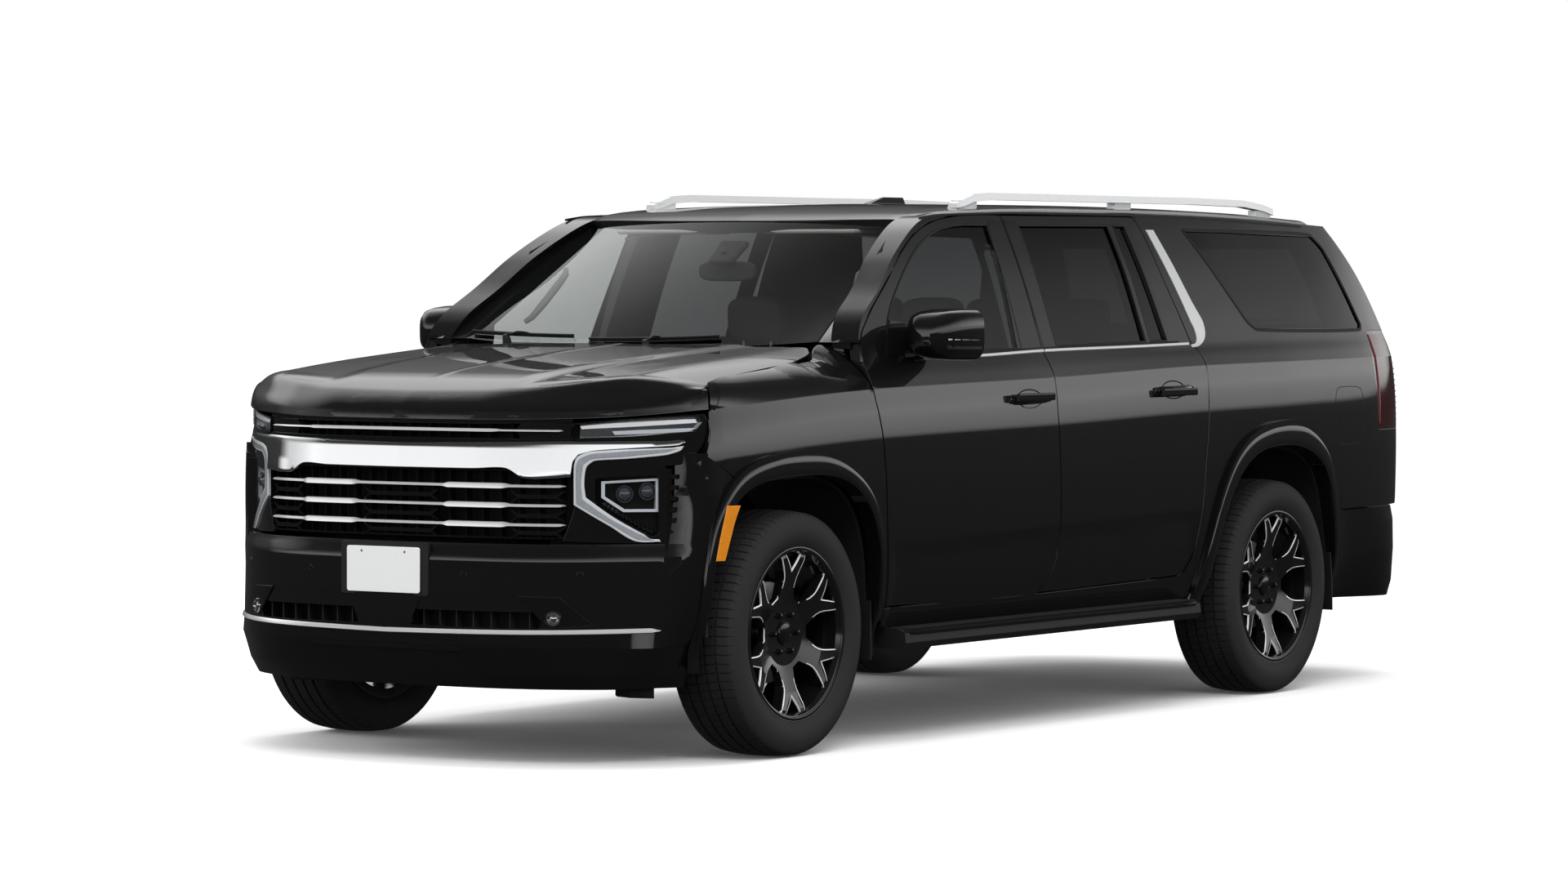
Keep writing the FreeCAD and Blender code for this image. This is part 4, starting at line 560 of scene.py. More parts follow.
LOOKS = (
    (CHASSIS, "chassis_frame"), (TRIM, "floor_pan dashboard steering_wheel"), (CLEAR, "windscreen"),
    (TINTED, "quarter_glass liftgate_glass glass_rear_left glass_rear_right"), (STEEL, "exhaust"),
    (DOOR_TINT, "glass_front_left glass_front_right"), (GLOSS, "grille mirror_left mirror_right"),
    # The radiator and the headlamps' housing: their own black with painted shade of the nose's cavities
    (CAVITY_SHADE_BLACK, "headlamps radiator"), (PLASTIC, "cowl running_boards wheel_liners fuel_tank"),
    (SATIN, "roof_rails"),
    (IRON, "engine_block suspension_front suspension_rear knuckle_left knuckle_right"),
    (DARK_RED, "tail_lamps"),
    (SEAT, "seats_front seats_rear"),
)
look_of = {name: look for look, names in LOOKS for name in names.split()}
for name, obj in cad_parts.items():
    spare = RUBBER if name.startswith("tyre") else WHEEL_BLACK if name.startswith("wheel") else PAINT
    obj.data.materials.clear()
    obj.data.materials.append(look_of.get(name, spare))

# Camera
AZIMUTH, TILT, ROLL = math.radians(33.472), math.radians(1.791), math.radians(0.129)
CAMERA_PLACE = (11.0351, -17.1554, 1.6397)
FOCAL_PIXELS, IMAGE_WIDTH, SENSOR_WIDTH = 6638.5, 1920, 36.0
back = Vector((math.sin(AZIMUTH) * math.cos(TILT), -math.cos(AZIMUTH) * math.cos(TILT), math.sin(TILT)))
right = (-back).cross(Vector(UP)).normalized()
up = right.cross(-back)
right, up = right * math.cos(ROLL) + up * math.sin(ROLL), up * math.cos(ROLL) - right * math.sin(ROLL)
lens = bpy.data.cameras.new("camera")
lens.sensor_width = SENSOR_WIDTH
lens.lens = FOCAL_PIXELS / IMAGE_WIDTH * SENSOR_WIDTH
lens.clip_end = 200.0
camera = bpy.data.objects.new("camera", lens)
camera.matrix_world = Matrix([row for row in zip(right, up, back, CAMERA_PLACE)] + [(0, 0, 0, 1)])
bpy.context.scene.collection.objects.link(camera)
bpy.context.scene.camera = camera
bpy.context.scene.view_settings.view_transform = "Standard"


def floor_material():
    """White studio floor for the camera, darker for reflections so that the lower body stays black."""
    mat = bpy.data.materials.new("studio_floor")
    tree = blank_tree(mat)
    out, matte = node(tree, "OutputMaterial"), node(tree, "BsdfDiffuse")
    glow, dim = (node(tree, "Emission", Color=rgba(1.0), Strength=level) for level in (0.03, 0.035))
    path, add, mix = node(tree, "LightPath"), node(tree, "AddShader"), node(tree, "MixShader")
    place, grain = node(tree, "TexCoord"), node(tree, "TexNoise", Scale=40.0)
    tint = ramp(tree, (0.0, 0.94), (1.0, 0.96))
    wire(
        tree, (place, "Object", grain, "Vector"), (grain, "Fac", tint, "Fac"),
        (tint, "Color", matte, "Color"),
        (matte, "BSDF", add, 0), (glow, "Emission", add, 1), (path, "Is Camera Ray", mix, "Fac"),
        (dim, "Emission", mix, 1), (add, "Shader", mix, 2), (mix, "Shader", out, "Surface"),
    )
    return mat


FLOOR_HALF = 90
corners = [(x * FLOOR_HALF, y * FLOOR_HALF, 0) for x, y in ((-1, -1), (1, -1), (1, 1), (-1, 1))]
floor_mesh = bpy.data.meshes.new("studio_floor")
floor_mesh.from_pydata(corners, [], [(0, 1, 2, 3)])
floor_mesh.materials.append(floor_material())
studio_floor = bpy.data.objects.new("studio_floor", floor_mesh)
bpy.context.scene.collection.objects.link(studio_floor)

# Studio light: white to the camera, even to matte surfaces,
# and a bright band over a dark horizon to glossy ones.
# Behind the right flank the low sky is dark and brightens further up.
BAND_SKY = ((0.032, 0.02), (0.046, 0.5), (0.1, 0.8), (0.19, 0.6), (0.3, 0.26), (0.4, 0.07), (0.55, 0.025))
HIGH_SKY = ((0.08, 0.03), (0.28, 0.12), (0.42, 0.8), (0.6, 1.0), (0.75, 0.7), (0.9, 0.1))
world = bpy.data.worlds.new("studio")
bpy.context.scene.world = world
tree = blank_tree(world)
sky_out, sight, place = node(tree, "OutputWorld"), node(tree, "LightPath"), node(tree, "TexCoord")
white, even = (node(tree, "Background", Color=rgba(1.0), Strength=level) for level in (1.0, 1.12))
gloss_sky = node(tree, "Background", Strength=1.5)
choose, matte_or_gloss, split = node(tree, "MixShader"), node(tree, "MixShader"), node(tree, "SeparateXYZ")
band_sky, high_sky = (ramp(tree, (0.0, 0.02), *stops, (1.0, 0.03)) for stops in (BAND_SKY, HIGH_SKY))
along = node(tree, "VectorMath")
along.operation = "DOT_PRODUCT"
along.inputs[1].default_value = (0.85, -0.53, 0.0)
sector, blend_sky = node(tree, "MapRange", From_Min=-0.8, From_Max=-0.42), node(tree, "MixRGB")
wire(
    tree, (place, "Generated", split, "Vector"), (split, "Z", band_sky, "Fac"), (split, "Z", high_sky, "Fac"),
    (place, "Generated", along, 0), (along, "Value", sector, "Value"), (sector, "Result", blend_sky, "Fac"),
    (high_sky, "Color", blend_sky, "Color1"), (band_sky, "Color", blend_sky, "Color2"),
    (blend_sky, "Color", gloss_sky, "Color"), (sight, "Is Glossy Ray", matte_or_gloss, "Fac"),
    (even, "Background", matte_or_gloss, 1), (gloss_sky, "Background", matte_or_gloss, 2),
    (sight, "Is Camera Ray", choose, "Fac"), (matte_or_gloss, "Shader", choose, 1),
    (white, "Background", choose, 2),
    (choose, "Shader", sky_out, "Surface"),
)
LAMPS = (
    ("key_light", (6, -8, 8), (0, -0.5, 0.8), (6, 3), 420),
    ("fill_light", (-9, -7, 5), (0, -1, 0.8), (5, 3), 260),
    ("top_light", (0, 0, 9), (0, 0, 0), (7, 9), 500),
)
for name, place, target, size, power in LAMPS:
    light = bpy.data.lights.new(name, "AREA")
    light.shape = "RECTANGLE"
    light.size, light.size_y = size
    light.energy = power
    obj = bpy.data.objects.new(name, light)
    obj.location = place
    obj.rotation_euler = (Vector(target) - Vector(place)).to_track_quat("-Z", "Y").to_euler()
    obj.visible_glossy = False
    bpy.context.scene.collection.objects.link(obj)


# The body's side surface: half width against height in three bands that meet at the crease and the belt line
SKIN_LOW_Z, SKIN_TOP_Z = 395.0, 1860.0
LOW_BAND = curve(
    (0, 953), (0.04, 970), (0.1, 987), (0.24, 1004), (0.42, 1012), (0.6, 1014), (0.77, 1011), (0.89, 1003),
    (1, 990),
)
MID_BAND = curve((0, 990), (0.5, 974), (1, 955))
TOP_BAND = curve((0, 955), (0.3, 905), (0.59, 852), (0.88, 790), (1, 762))
TAPER = curve(
    (-2600, -135), (-2523, -100), (-2440, -62), (-2360, -38), (-2300, -27), (-2100, -13), (-1885, -6),
    (-1340, -1),
    (0, 0), (1000, 0), (1521, -3), (2000, -16), (2300, -32), (2500, -54), (2650, -88), (2780, -150),
)
CREASE_Z = curve((-2600, 1160), (-2360, 1182), (-1408, 1234), (-167, 1257), (969, 1286), (2539, 1300))
BELT_Z = curve((-2600, 1225), (-1400, 1331), (-677, 1337), (-169, 1351), (948, 1367), (2600, 1392))
SCOOP_FADE = curve((-1500, 0), (-1330, 0), (-1250, 1), (800, 1), (890, 0), (1100, 0))
SCOOP_DEPTH, SCOOP_HEIGHT = 9.0, 45.0


def side_x(y, z):
    y, z = np.asarray(y, float), np.asarray(z, float)
    crease, belt = CREASE_Z(y), BELT_Z(y)
    low = LOW_BAND((z - SKIN_LOW_Z) / (crease - SKIN_LOW_Z))
    mid = MID_BAND((z - crease) / (belt - crease))
    top = TOP_BAND((z - belt) / (SKIN_TOP_Z - belt))
    below = np.clip((723 + 0.022 * y - z) / SCOOP_HEIGHT, 0, 1)
    scoop = SCOOP_DEPTH * SCOOP_FADE(y) * below * (2 - below)
    return np.where(z <= crease, low, np.where(z <= belt, mid, top)) + TAPER(y) - scoop


def side(u, v):
    return np.stack([side_x(u, v), np.asarray(u, float), np.asarray(v, float)], -1)


# Outlines of the body's panels in the side view, (y, z)
FRONT_AXLE_Y, REAR_AXLE_Y, AXLE_Z = -1885.0, 1521.0, 417.0
FRONT_DOOR_FRONT = [
    (-1318, 478), (-1346, 773), (-1360, 965), (-1375, 1090), (-1406, 1235), (-1417, 1337), (-1401, 1394),
    (-1384, 1424), (-1285, 1504), (-1134, 1602), (-973, 1708), (-858, 1767), (-714, 1814), (-558, 1838),
]
DOOR_SPLIT = [
    (-205, 1848), (-205, 1690), (-205, 1520), (-205, 1355), (-182, 1275), (-183, 1131), (-169, 713),
    (-180, 590),
    (-268, 478),
]
REAR_DOOR_REAR = [
    (745, 494), (789, 505), (834, 560), (881, 718), (910, 927), (942, 1135), (950, 1290), (922, 1352),
    (893, 1380), (862, 1494), (830, 1608), (792, 1803), (775, 1836), (765, 1848),
]
FRONT_WINDOW = [
    (-1236, 1362), (-1210, 1440), (-1150, 1515), (-1061, 1590), (-899, 1700), (-714, 1779), (-557, 1805),
    (-325, 1810), (-352, 1362),
]
REAR_WINDOW = [(-105, 1810), (556, 1814), (552, 1380), (-105, 1368)]
REAR_DOOR_LIGHT = [(592, 1814), (672, 1814), (716, 1382), (585, 1381)]
QUARTER_WINDOW = [
    (1120, 1800), (2200, 1783), (2255, 1740), (2385, 1432), (2370, 1415), (1440, 1423), (1395, 1445),
]
# Wheel openings and the outer edges of their lips, (y from the axle, z)
FRONT_ARCH = [
    (-493, 300), (-490, 520), (-474, 690), (-425, 815), (-330, 905), (-177, 945), (0, 952), (177, 945),
    (330, 893),
    (425, 800), (474, 680), (490, 520), (493, 300),
]
FRONT_FLARE = [
    (-525, 300), (-520, 540), (-505, 720), (-455, 870), (-345, 975), (-180, 1025), (0, 1038), (170, 1024),
    (310, 974), (421, 896), (492, 773), (520, 560), (522, 300),
]
REAR_ARCH = [
    (-600, 300), (-555, 480), (-505, 630), (-449, 748), (-360, 860), (-213, 944), (-46, 968), (104, 964),
    (219, 941),
    (335, 884), (400, 800), (446, 660), (480, 520), (500, 300),
]
REAR_FLARE = [
    (-665, 300), (-625, 500), (-570, 650), (-504, 794), (-400, 930), (-280, 1010), (-120, 1055), (50, 1066),
    (210, 1048), (350, 976), (440, 870), (500, 680), (525, 500), (535, 300),
]
FLARE_SECTION = (
    (0.0, 0.6), (0.03, 6), (0.08, 12), (0.16, 16.5), (0.3, 19), (0.5, 19.6), (0.75, 19.6), (0.92, 19),
    (0.975, 17),
    (1.0, 13),
)
GATE_PROFILE = curve(
    (700, 2792), (900, 2802), (1100, 2800), (1250, 2776), (1430, 2690), (1650, 2562), (1800, 2440),
    (1900, 2350),
)
TAIL_PLAN = curve((0, 0), (400, 8), (700, 34), (800, 52), (900, 90), (960, 150))
ROOF_EDGE_Z = curve(
    (-820, 1798), (-700, 1826), (-600, 1841), (-300, 1856), (0, 1860), (800, 1862), (1600, 1853),
    (2230, 1832),
)
ROOF_CROWN_Z = curve(
    (-820, 1819), (-700, 1844), (-600, 1860), (-300, 1884), (0, 1893), (800, 1897), (1600, 1886),
    (2230, 1864),
)
ROOF_HALF = curve((-820, 690), (-700, 708), (-600, 728), (-400, 754), (0, 762), (1500, 760), (2230, 742))
ROOF_SHAPE = curve((0, 1), (0.525, 0.87), (0.905, 0.58), (0.976, 0.34), (1, 0))
HOOD_FRONT_Y = curve(
    (0, -2788), (300, -2779), (500, -2745), (640, -2690), (800, -2575), (900, -2460), (960, -2350),
)
HOOD_FRONT_Z = curve((0, 1148), (400, 1150), (640, 1155), (800, 1164), (960, 1184))
HOOD_CROWN_Z = curve((-2745, 1228), (-2600, 1272), (-2300, 1312), (-1900, 1346), (-1460, 1378))
HOOD_SEAM = [(958, -2362), (918, -2324), (908, -2288), (884, -2100), (853, -1674), (806, -1526), (760, -1466)]
RIDGE_X = curve(
    (-2375, 926), (-2290, 914), (-2100, 890), (-1885, 874), (-1674, 859), (-1526, 816), (-1462, 778),
    (-1400, 776),
    (-1300, 776),
)
RIDGE_Z = curve(
    (-2375, 1255), (-2290, 1276), (-2100, 1294), (-1885, 1310), (-1674, 1325), (-1526, 1338), (-1462, 1372),
    (-1400, 1388), (-1300, 1388),
)


def tail_y(x, z):
    return GATE_PROFILE(z) - TAIL_PLAN(np.abs(x))


def flank_skin(name, outline, windows, bodies=BODY_PAIR, lift=1.2, spacing=28.0, sharp=55.0):
    mesh = panel_mesh(
        side, OUT, outline, windows, spacing, flange=12.0, lift=lift, sharp=sharp, follow=CREASE_Z,
    )
    skin_pair(name, mesh, PAINT, bodies)


PANEL_INSET = 2.6
front_door = FRONT_DOOR_FRONT + [(-375, 1848)] + DOOR_SPLIT
rear_door = DOOR_SPLIT[::-1] + REAR_DOOR_REAR[::-1]
flank_skin("front_door_skin", inset(front_door, PANEL_INSET), [inset(FRONT_WINDOW, 1.0)], FRONT_DOORS)
rear_lights = [inset(REAR_WINDOW, 1.0), inset(REAR_DOOR_LIGHT, 1.0)]
flank_skin("rear_door_skin", inset(rear_door, PANEL_INSET), rear_lights, REAR_DOORS)
quarter = (
    [(-1316, 402), (874, 402)] + [(REAR_AXLE_Y + y, z) for y, z in REAR_FLARE[1:11]]
    + [(2012, 702), (2734, 702), (2745, 860), (2748, 1008), (2426, 1008), (2401, 1290), (2440, 1407)]
    + [(float(tail_y(800, z)) - 1.0, z) for z in (1406, 1500, 1600, 1700, 1790)]
    + [(y, float(ROOF_EDGE_Z(y)) - 1.5) for y in (2352, 2230, 1900, 1500, 1100, 790)]
    + [(y + 3.0, z) for y, z in REAR_DOOR_REAR[-2::-1]] + [(745, 489), (-268, 474.5), (-1316, 474.5)]
)
flank_skin("quarter_skin", quarter, [inset(QUARTER_WINDOW, 1.0)], lift=1.0, spacing=30.0, sharp=28.0)

# Fender: the side surface up to the crease, and a rounded shoulder from there to the hood's seam
SHOULDER = 110.0


def shoulder_point(y, t):
    """Point (x, z) of the fender's shoulder, from the crease (t = 0) to the hood's seam (t = 1)."""
    crease = CREASE_Z(y)
    cx, rx, rz = side_x(y, crease), RIDGE_X(y), RIDGE_Z(y)
    mx, mz = cx * 0.62 + rx * 0.38 + 7, crease * 0.45 + rz * 0.55
    first = np.hypot(mx - cx, mz - crease)
    k = first / (first + np.hypot(rx - mx, rz - mz))
    a, b, c = (t - k) * (t - 1) / k, t * (t - 1) / (k * (k - 1)), t * (t - k) / (1 - k)
    return a * cx + b * mx + c * rx, a * crease + b * mz + c * rz


def fender_surface(u, v):
    u, v = np.asarray(u, float), np.asarray(v, float)
    crease = CREASE_Z(u)
    sx, sz = shoulder_point(u, np.clip((v - crease) / SHOULDER, 0, 1.05))
    low = v <= crease
    return np.stack([np.where(low, side_x(u, np.minimum(v, crease)), sx), u, np.where(low, v, sz)], -1)


def on_fender(y, z):
    """Coordinates on the fender's surface of a point at (y, z)."""
    crease = float(CREASE_Z(y))
    if z <= crease:
        return y, z
    ts = np.linspace(0, 1, 60)
    return y, crease + SHOULDER * float(np.interp(z, shoulder_point(y, ts)[1], ts))


fender_outline = (
    [(-1321.4, 432), (-1321.4, 478)] + [on_fender(y - 3.4, z) for y, z in FRONT_DOOR_FRONT[1:6]]
    + [(y, float(CREASE_Z(y)) + SHOULDER - 1.0) for y in (-1416, -1470, -1526, -1674, -1885, -2100, -2280)]
    + [
        on_fender(-2300, 1232), on_fender(-2322, 1196), on_fender(-2361, 1176), (-2364, 1110), (-2390, 1030),
        (-2254, 952),
    ]
    + [(FRONT_AXLE_Y + y, z) for y, z in FRONT_FLARE[4:12]] + [(-1364, 432)]
)
fender = panel_mesh(
    fender_surface, OUT, fender_outline, (), 18.0, flange=10.0, lift=1.5, sharp=35.0, follow=CREASE_Z,
)
skin_pair("fender_skin", fender, PAINT)


def arch_lip(name, arch, edge, axle_y, z_low):
    """Raised lip round a wheel arch, rolled in at its inner edge."""
    inner, outer = spline_rows(arch, 6), spline_rows(edge, 6)
    keep = np.maximum(inner[:, 1], outer[:, 1]) > z_low - 25
    inner, outer = inner[keep], outer[keep]
    rows = []
    for share, proud in FLARE_SECTION:
        y, z = (outer * (1 - share) + inner * share).T
        y, z = y + axle_y, np.maximum(z, z_low)
        rows.append(np.stack([side_x(y, np.maximum(z, 400)) + proud, y, z], -1))
    rows += [rows[-1] - (depth, 0, 0) for depth in (8, 46)]
    n = len(inner)
    quads = [(r * n + i, r * n + i + 1) for r in range(len(rows) - 1) for i in range(n - 1)]
    faces = [[a, b, b + n, a + n] for a, b in quads]
    for word, flip in (("left", 1), ("right", -1)):
        obj = skin(name + "_" + word, (np.concatenate(rows) * (flip, 1, 1), faces, None), PAINT)
        if sum(p.normal.x * p.area for p in obj.data.polygons) * flip < 0:
            obj.data.flip_normals()
        obj.data.set_sharp_from_angle(angle=math.radians(50))


arch_lip("front_arch_lip", FRONT_ARCH, FRONT_FLARE, FRONT_AXLE_Y, 312)
arch_lip("rear_arch_lip", REAR_ARCH, REAR_FLARE, REAR_AXLE_Y, 335)

# Hood
HOOD_LENGTH = 1400.0
HOOD_STATIONS = (-2700, -2580, -2300, -1980, -1700, -1440)


def take(table, k):
    """Value at index k of each row of a table."""
    return np.take_along_axis(table, k[..., None], -1)[..., 0]


def hood_surface(u, v):
    """Hood top: u is x and v runs back from the front edge along the profile."""
    u, v = np.asarray(u, float), np.asarray(v, float)
    away = np.abs(u)
    y0, z0 = HOOD_FRONT_Y(away), HOOD_FRONT_Z(away)
    move = y0 - float(HOOD_FRONT_Y(0))
    behind = [y + move * (HOOD_STATIONS[-1] - y) / 1260.0 for y in HOOD_STATIONS]
    droop = 42 * np.maximum(0.0, (away - 700) / 180) ** 1.5
    ys = np.stack([y0, y0 + 10, y0 + 34] + behind, -1)
    zs = np.stack([z0, z0 + 34, z0 + 64] + [HOOD_CROWN_Z(y) - droop for y in behind], -1)
    step = np.hypot(np.diff(ys, axis=-1), np.diff(zs, axis=-1))
    knots = np.concatenate([np.zeros(u.shape + (1,)), np.cumsum(step, -1)], -1)
    s = np.clip(v / HOOD_LENGTH, 0, 1) * knots[..., -1]
    i = np.clip((s[..., None] >= knots[..., 1:-1]).sum(-1), 0, 7)
    h = take(knots, i + 1) - take(knots, i)

    def slope(table, k):
        before, after = np.maximum(k - 1, 0), np.minimum(k + 1, 8)
        return (take(table, after) - take(table, before)) / (take(knots, after) - take(knots, before))

    y, z = (
        hermite(take(t, i), take(t, i + 1), slope(t, i) * h, slope(t, i + 1) * h, (s - take(knots, i)) / h)
        for t in (ys, zs)
    )
    raised = smooth_step((560 + (y + 1500) * 0.11 - away) / 95.0) * smooth_step((y + 2745) / 260.0)
    rib = np.exp(-(u / 16.0) ** 2) * 2.2 * smooth_step((y + 2700) / 300.0)
    edge_line = smooth_step((away - 700) / 50.0) * smooth_step((y + 2620) / 200.0) * 3.0
    return np.stack([u, y, z + raised * 9.0 + rib + edge_line], -1)


def on_hood(x, y):
    """Coordinates on the hood of the point at (x, y)."""
    vs = np.linspace(0, HOOD_LENGTH, 240)
    return x, float(np.interp(y, hood_surface(np.full(240, float(x)), vs)[:, 1], vs))


hood_half = [(x, 1.0) for x in (0, 300, 640, 800, 900, 955)] + [on_hood(955, -2360)]
hood_half += [on_hood(x - PANEL_INSET, y) for x, y in HOOD_SEAM[1:]] + [
    on_hood(735, -1471), on_hood(400, -1505), on_hood(0, -1521),
]
hood = panel_mesh(
    hood_surface, (0, -0.35, 1.0), mirror_outline(hood_half), (), 22.0, flange=16.0, lift=1.5, sharp=40.0,
)
skin("hood_skin", hood, PAINT, "hood")


# Roof and liftgate
def roof_surface(u, v):
    u, v = np.asarray(u, float), np.asarray(v, float)
    edge, crown = ROOF_EDGE_Z(v), ROOF_CROWN_Z(v)
    share = np.clip(np.abs(u) / ROOF_HALF(v), 0, 1)
    groove = 1.2 * np.exp(
        -((np.abs(u) - 560) / 14.0) ** 2
    ) * smooth_step((v + 500) / 200.0) * smooth_step((2150 - v) / 100.0)
    return np.stack([u, v, edge + (crown - edge) * ROOF_SHAPE(share) - groove], -1)


roof_half = [(0, -804), (200, -799), (400, -783), (540, -764), (672, -746)]
roof_half += [(float(ROOF_HALF(y)) * 0.972, y) for y in (-600, -400, 0, 800, 1500, 2224)]
roof = panel_mesh(roof_surface, UP, mirror_outline(roof_half), (), 45.0, flange=6.0, lift=1.5, sharp=40.0)
skin("roof_skin", roof, PAINT)
GATE_HALF = curve((700, 800), (1250, 800), (1430, 770), (1800, 660), (1900, 640))
GATE_WINDOW = [(-609, 1421), (609, 1421), (554, 1744), (-554, 1744)]


def gate_surface(u, v):
    u, v = np.asarray(u, float), np.asarray(v, float)
    line = 4.0 * np.exp(-((v - 1190) / 22.0) ** 2) * smooth_step((760 - np.abs(u)) / 80.0)
    return np.stack([u, tail_y(u, v) + line, v], -1)


gate_half = [(float(GATE_HALF(z)) - 5.4, z) for z in (741, 1000, 1250, 1430, 1600, 1780)]
gate = panel_mesh(gate_surface, BEHIND, mirror_outline(gate_half), [GATE_WINDOW], 24.0, flange=14.0, lift=1.2)
skin("liftgate_skin", gate, PAINT, "liftgate")

# Front end
GRILLE_PLAN = curve(
    (0, -2800), (300, -2790), (500, -2754), (640, -2690), (760, -2600), (870, -2490), (960, -2380),
)
BUMPER_PLAN = curve(
    (0, -2874), (300, -2862), (500, -2824), (640, -2758), (760, -2660), (881, -2516), (960, -2400),
)


def nose_y(x, back=0.0):
    return float(GRILLE_PLAN(abs(x))) + back


def bumper_y(x, back=0.0):
    return float(BUMPER_PLAN(abs(x))) + back


def nose_piece(
    name, plan, setback, outline, mat, slot, holes=(), flange=12.0, spacing=14.0, edge=1.2, step=8.0,
    pair=True,
):
    """Moulded piece that follows the nose in plan; setback is a number or a function of (x, z)."""
    def surface(u, v):
        u, v = np.asarray(u, float), np.asarray(v, float)
        return np.stack([u, plan(np.abs(u)) + (setback(u, v) if callable(setback) else setback), v], -1)

    mesh = panel_mesh(surface, AHEAD, outline, holes, spacing, edge, flange, step, sharp=40.0)
    return skin_pair(name, mesh, mat) if pair else skin(name, mesh, mat)


def band_setback(x, z):
    top = 1071 + np.abs(x) * 0.019
    low = 1 - np.clip((top - z) / 86.0, 0, 1.3)
    lip = 9 * np.clip((z - (top - 14)) / 14.0, 0, 1.4) ** 2
    return -6 + 10 * low + lip + 6 * smooth_step((1010 - z) / 8.0) * smooth_step((560 - np.abs(x)) / 60.0)


BAND = mirror_outline([
    (0, 1071), (300, 1076), (625, 1082), (754, 1084), (880, 1087), (908, 1084), (914, 1076), (901, 1067),
    (793, 1057),
    (690, 1047), (656, 1036), (643, 1015), (637, 962), (484, 960), (430, 988), (300, 987), (0, 986),
])
nose_piece(
    "chrome_nose_band", GRILLE_PLAN, band_setback, BAND, CHROME, "bright", flange=26.0, edge=2.0, pair=False,
)


def grille_bar(name, z_mid, thick, thin, swell_from, swell_to, reach):
    """Grille bar that swells between two distances from the middle."""
    xs = np.arange(-reach, reach + 1, 7.0)
    verts = []
    for x in xs:
        swell = float(smooth_step((abs(x) - swell_from) / 26.0) * smooth_step((swell_to - abs(x)) / 26.0))
        half = (thin + (thick - thin) * swell) * float(np.clip((reach - abs(x)) / 12.0, 0.35, 1.0))
        section = ((20, -1), (2.5, -1), (-1.2, -0.78), (-0.4, 0), (1.4, 0.78), (5.5, 1), (20, 1))
        verts += [(x, nose_y(x, 6.0 - 5.0 * swell) + dy, z_mid + half * share) for dy, share in section]
    solid(name, (verts, ring_faces(len(xs), 7)), TRIM_BRIGHT, "bright", angle=38.0)


for number, z in enumerate((931, 867, 803)):
    grille_bar("grille_bar_%d" % (number + 1), z, 9.5, 4.8, 176, 432, 611)
grille_bar("grille_bar_upper", 1114, 5.5, 3.2, -60, 400, 608)

# Dark lattice of the main grille: upright fins and slim cross pieces with splayed ends
FIN_LOW_Z, FIN_HIGH_Z, FIN_HIGH_SIDE_Z = 757, 984, 958
lattice = []
for x in np.arange(-594, 595, 66.0):
    y, top = nose_y(x, 20), FIN_HIGH_Z if abs(x) < 440 else FIN_HIGH_SIDE_Z
    lattice.append(box_mesh(x - 1.6, x + 1.6, y, y + 34, FIN_LOW_Z, top))
for z in (899, 835, 779):
    for middle, half in ((-523.5, 61.5), (0, 128), (523.5, 61.5)):
        quarter_shape = [(0, 5), (26, 20), (26, 13), (4, -4), (26, -20), (26, -24), (0, -9)]
        shape = [(middle + half + dx, z + dz) for dx, dz in quarter_shape]
        shape += [(middle - half - dx, z + dz) for dx, dz in quarter_shape[::-1]]
        dense = smooth_loop(shape[-2:] + shape[:-2], 40.0, 10.0)
        lattice.append(prism_xz(dense, lambda x: nose_y(x, 12), 14))
for z in (FIN_LOW_Z, 980):
    for x in np.arange(-600, 600, 20.0):
        y = nose_y(x + 10, 16)
        lattice.append(box_mesh(x, x + 20, y, y + 30, z, z + 6))
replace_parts(solid("grille_lattice", gather(lattice), GLOSS, "gloss_black"), "grille")

# Sheet set back behind the grille's lattice: painted shade of the space behind the grille
GRILLE_SHADE_OUTLINE = mirror_outline([
    (0, 1142), (300, 1142), (628, 1140), (636, 1080), (641, 960), (622, 800), (602, 752), (300, 750), (0, 750),
])
nose_piece(
    "grille_backing_shade", GRILLE_PLAN, 60.0, GRILLE_SHADE_OUTLINE, CAVITY_SHADE_BLACK, "black_plastic", flange=18.0, spacing=40.0, pair=False,
)
fins = [
    box_mesh(x - 1.5, x + 1.5, nose_y(x, 14), nose_y(x, 54), 1088, 1136) for x in np.arange(-440, 441, 80.0)
]
solid("grille_upper_fins", gather(fins), GLOSS, "gloss_black")
FILLER = [(468, 1136), (628, 1138), (628, 1090), (468, 1088), (450, 1112)]
nose_piece("grille_upper_filler", GRILLE_PLAN, 16.0, FILLER, GLOSS, "gloss_black", flange=30.0)
BROW = mirror_outline([(0, 1146), (300, 1148), (632, 1152), (632, 1139), (300, 1135), (0, 1134)])
nose_piece("grille_brow_strip", GRILLE_PLAN, 14.0, BROW, GLOSS, "gloss_black", flange=30.0, pair=False)
SILL_STRIP = mirror_outline([(0, 1086), (300, 1087), (636, 1090), (636, 1078), (300, 1070), (0, 1066)])
nose_piece("grille_sill_strip", GRILLE_PLAN, 10.0, SILL_STRIP, GLOSS, "gloss_black", flange=30.0, pair=False)

# Headlamps
LAMP_OUTER = [
    (606, 750), (640, 862), (644, 960), (640, 1086), (632, 1138), (751, 1152), (880, 1163), (952, 1169),
    (957, 1150),
    (944, 1056), (902, 1003), (868, 998), (866, 748), (806, 744),
]
C_SHAPE = [
    (912, 1064), (889, 1059), (752, 1052), (676, 1043), (650, 1026), (643, 1004), (642, 871), (736, 802),
    (807, 749),
    (862, 748), (858, 757), (836, 760), (824, 772), (750, 829), (676, 896), (672, 940), (680, 999),
    (696, 1014),
    (790, 1023), (880, 1036), (906, 1050),
]
GUIDE_CORE = [
    (900, 1057), (752, 1045), (682, 1036), (656, 1018), (650, 1000), (650, 876), (742, 808), (812, 756),
    (846, 754),
    (830, 764), (746, 822), (668, 890), (664, 940), (670, 1004), (688, 1020), (790, 1032), (880, 1046),
]
SLIM = [
    (638, 1134), (751, 1148), (880, 1158), (940, 1161), (948, 1143), (930, 1112), (791, 1097), (636, 1090),
]
SLIM_GUIDE = [(652, 1130), (751, 1140), (930, 1152), (934, 1139), (800, 1128), (656, 1119)]
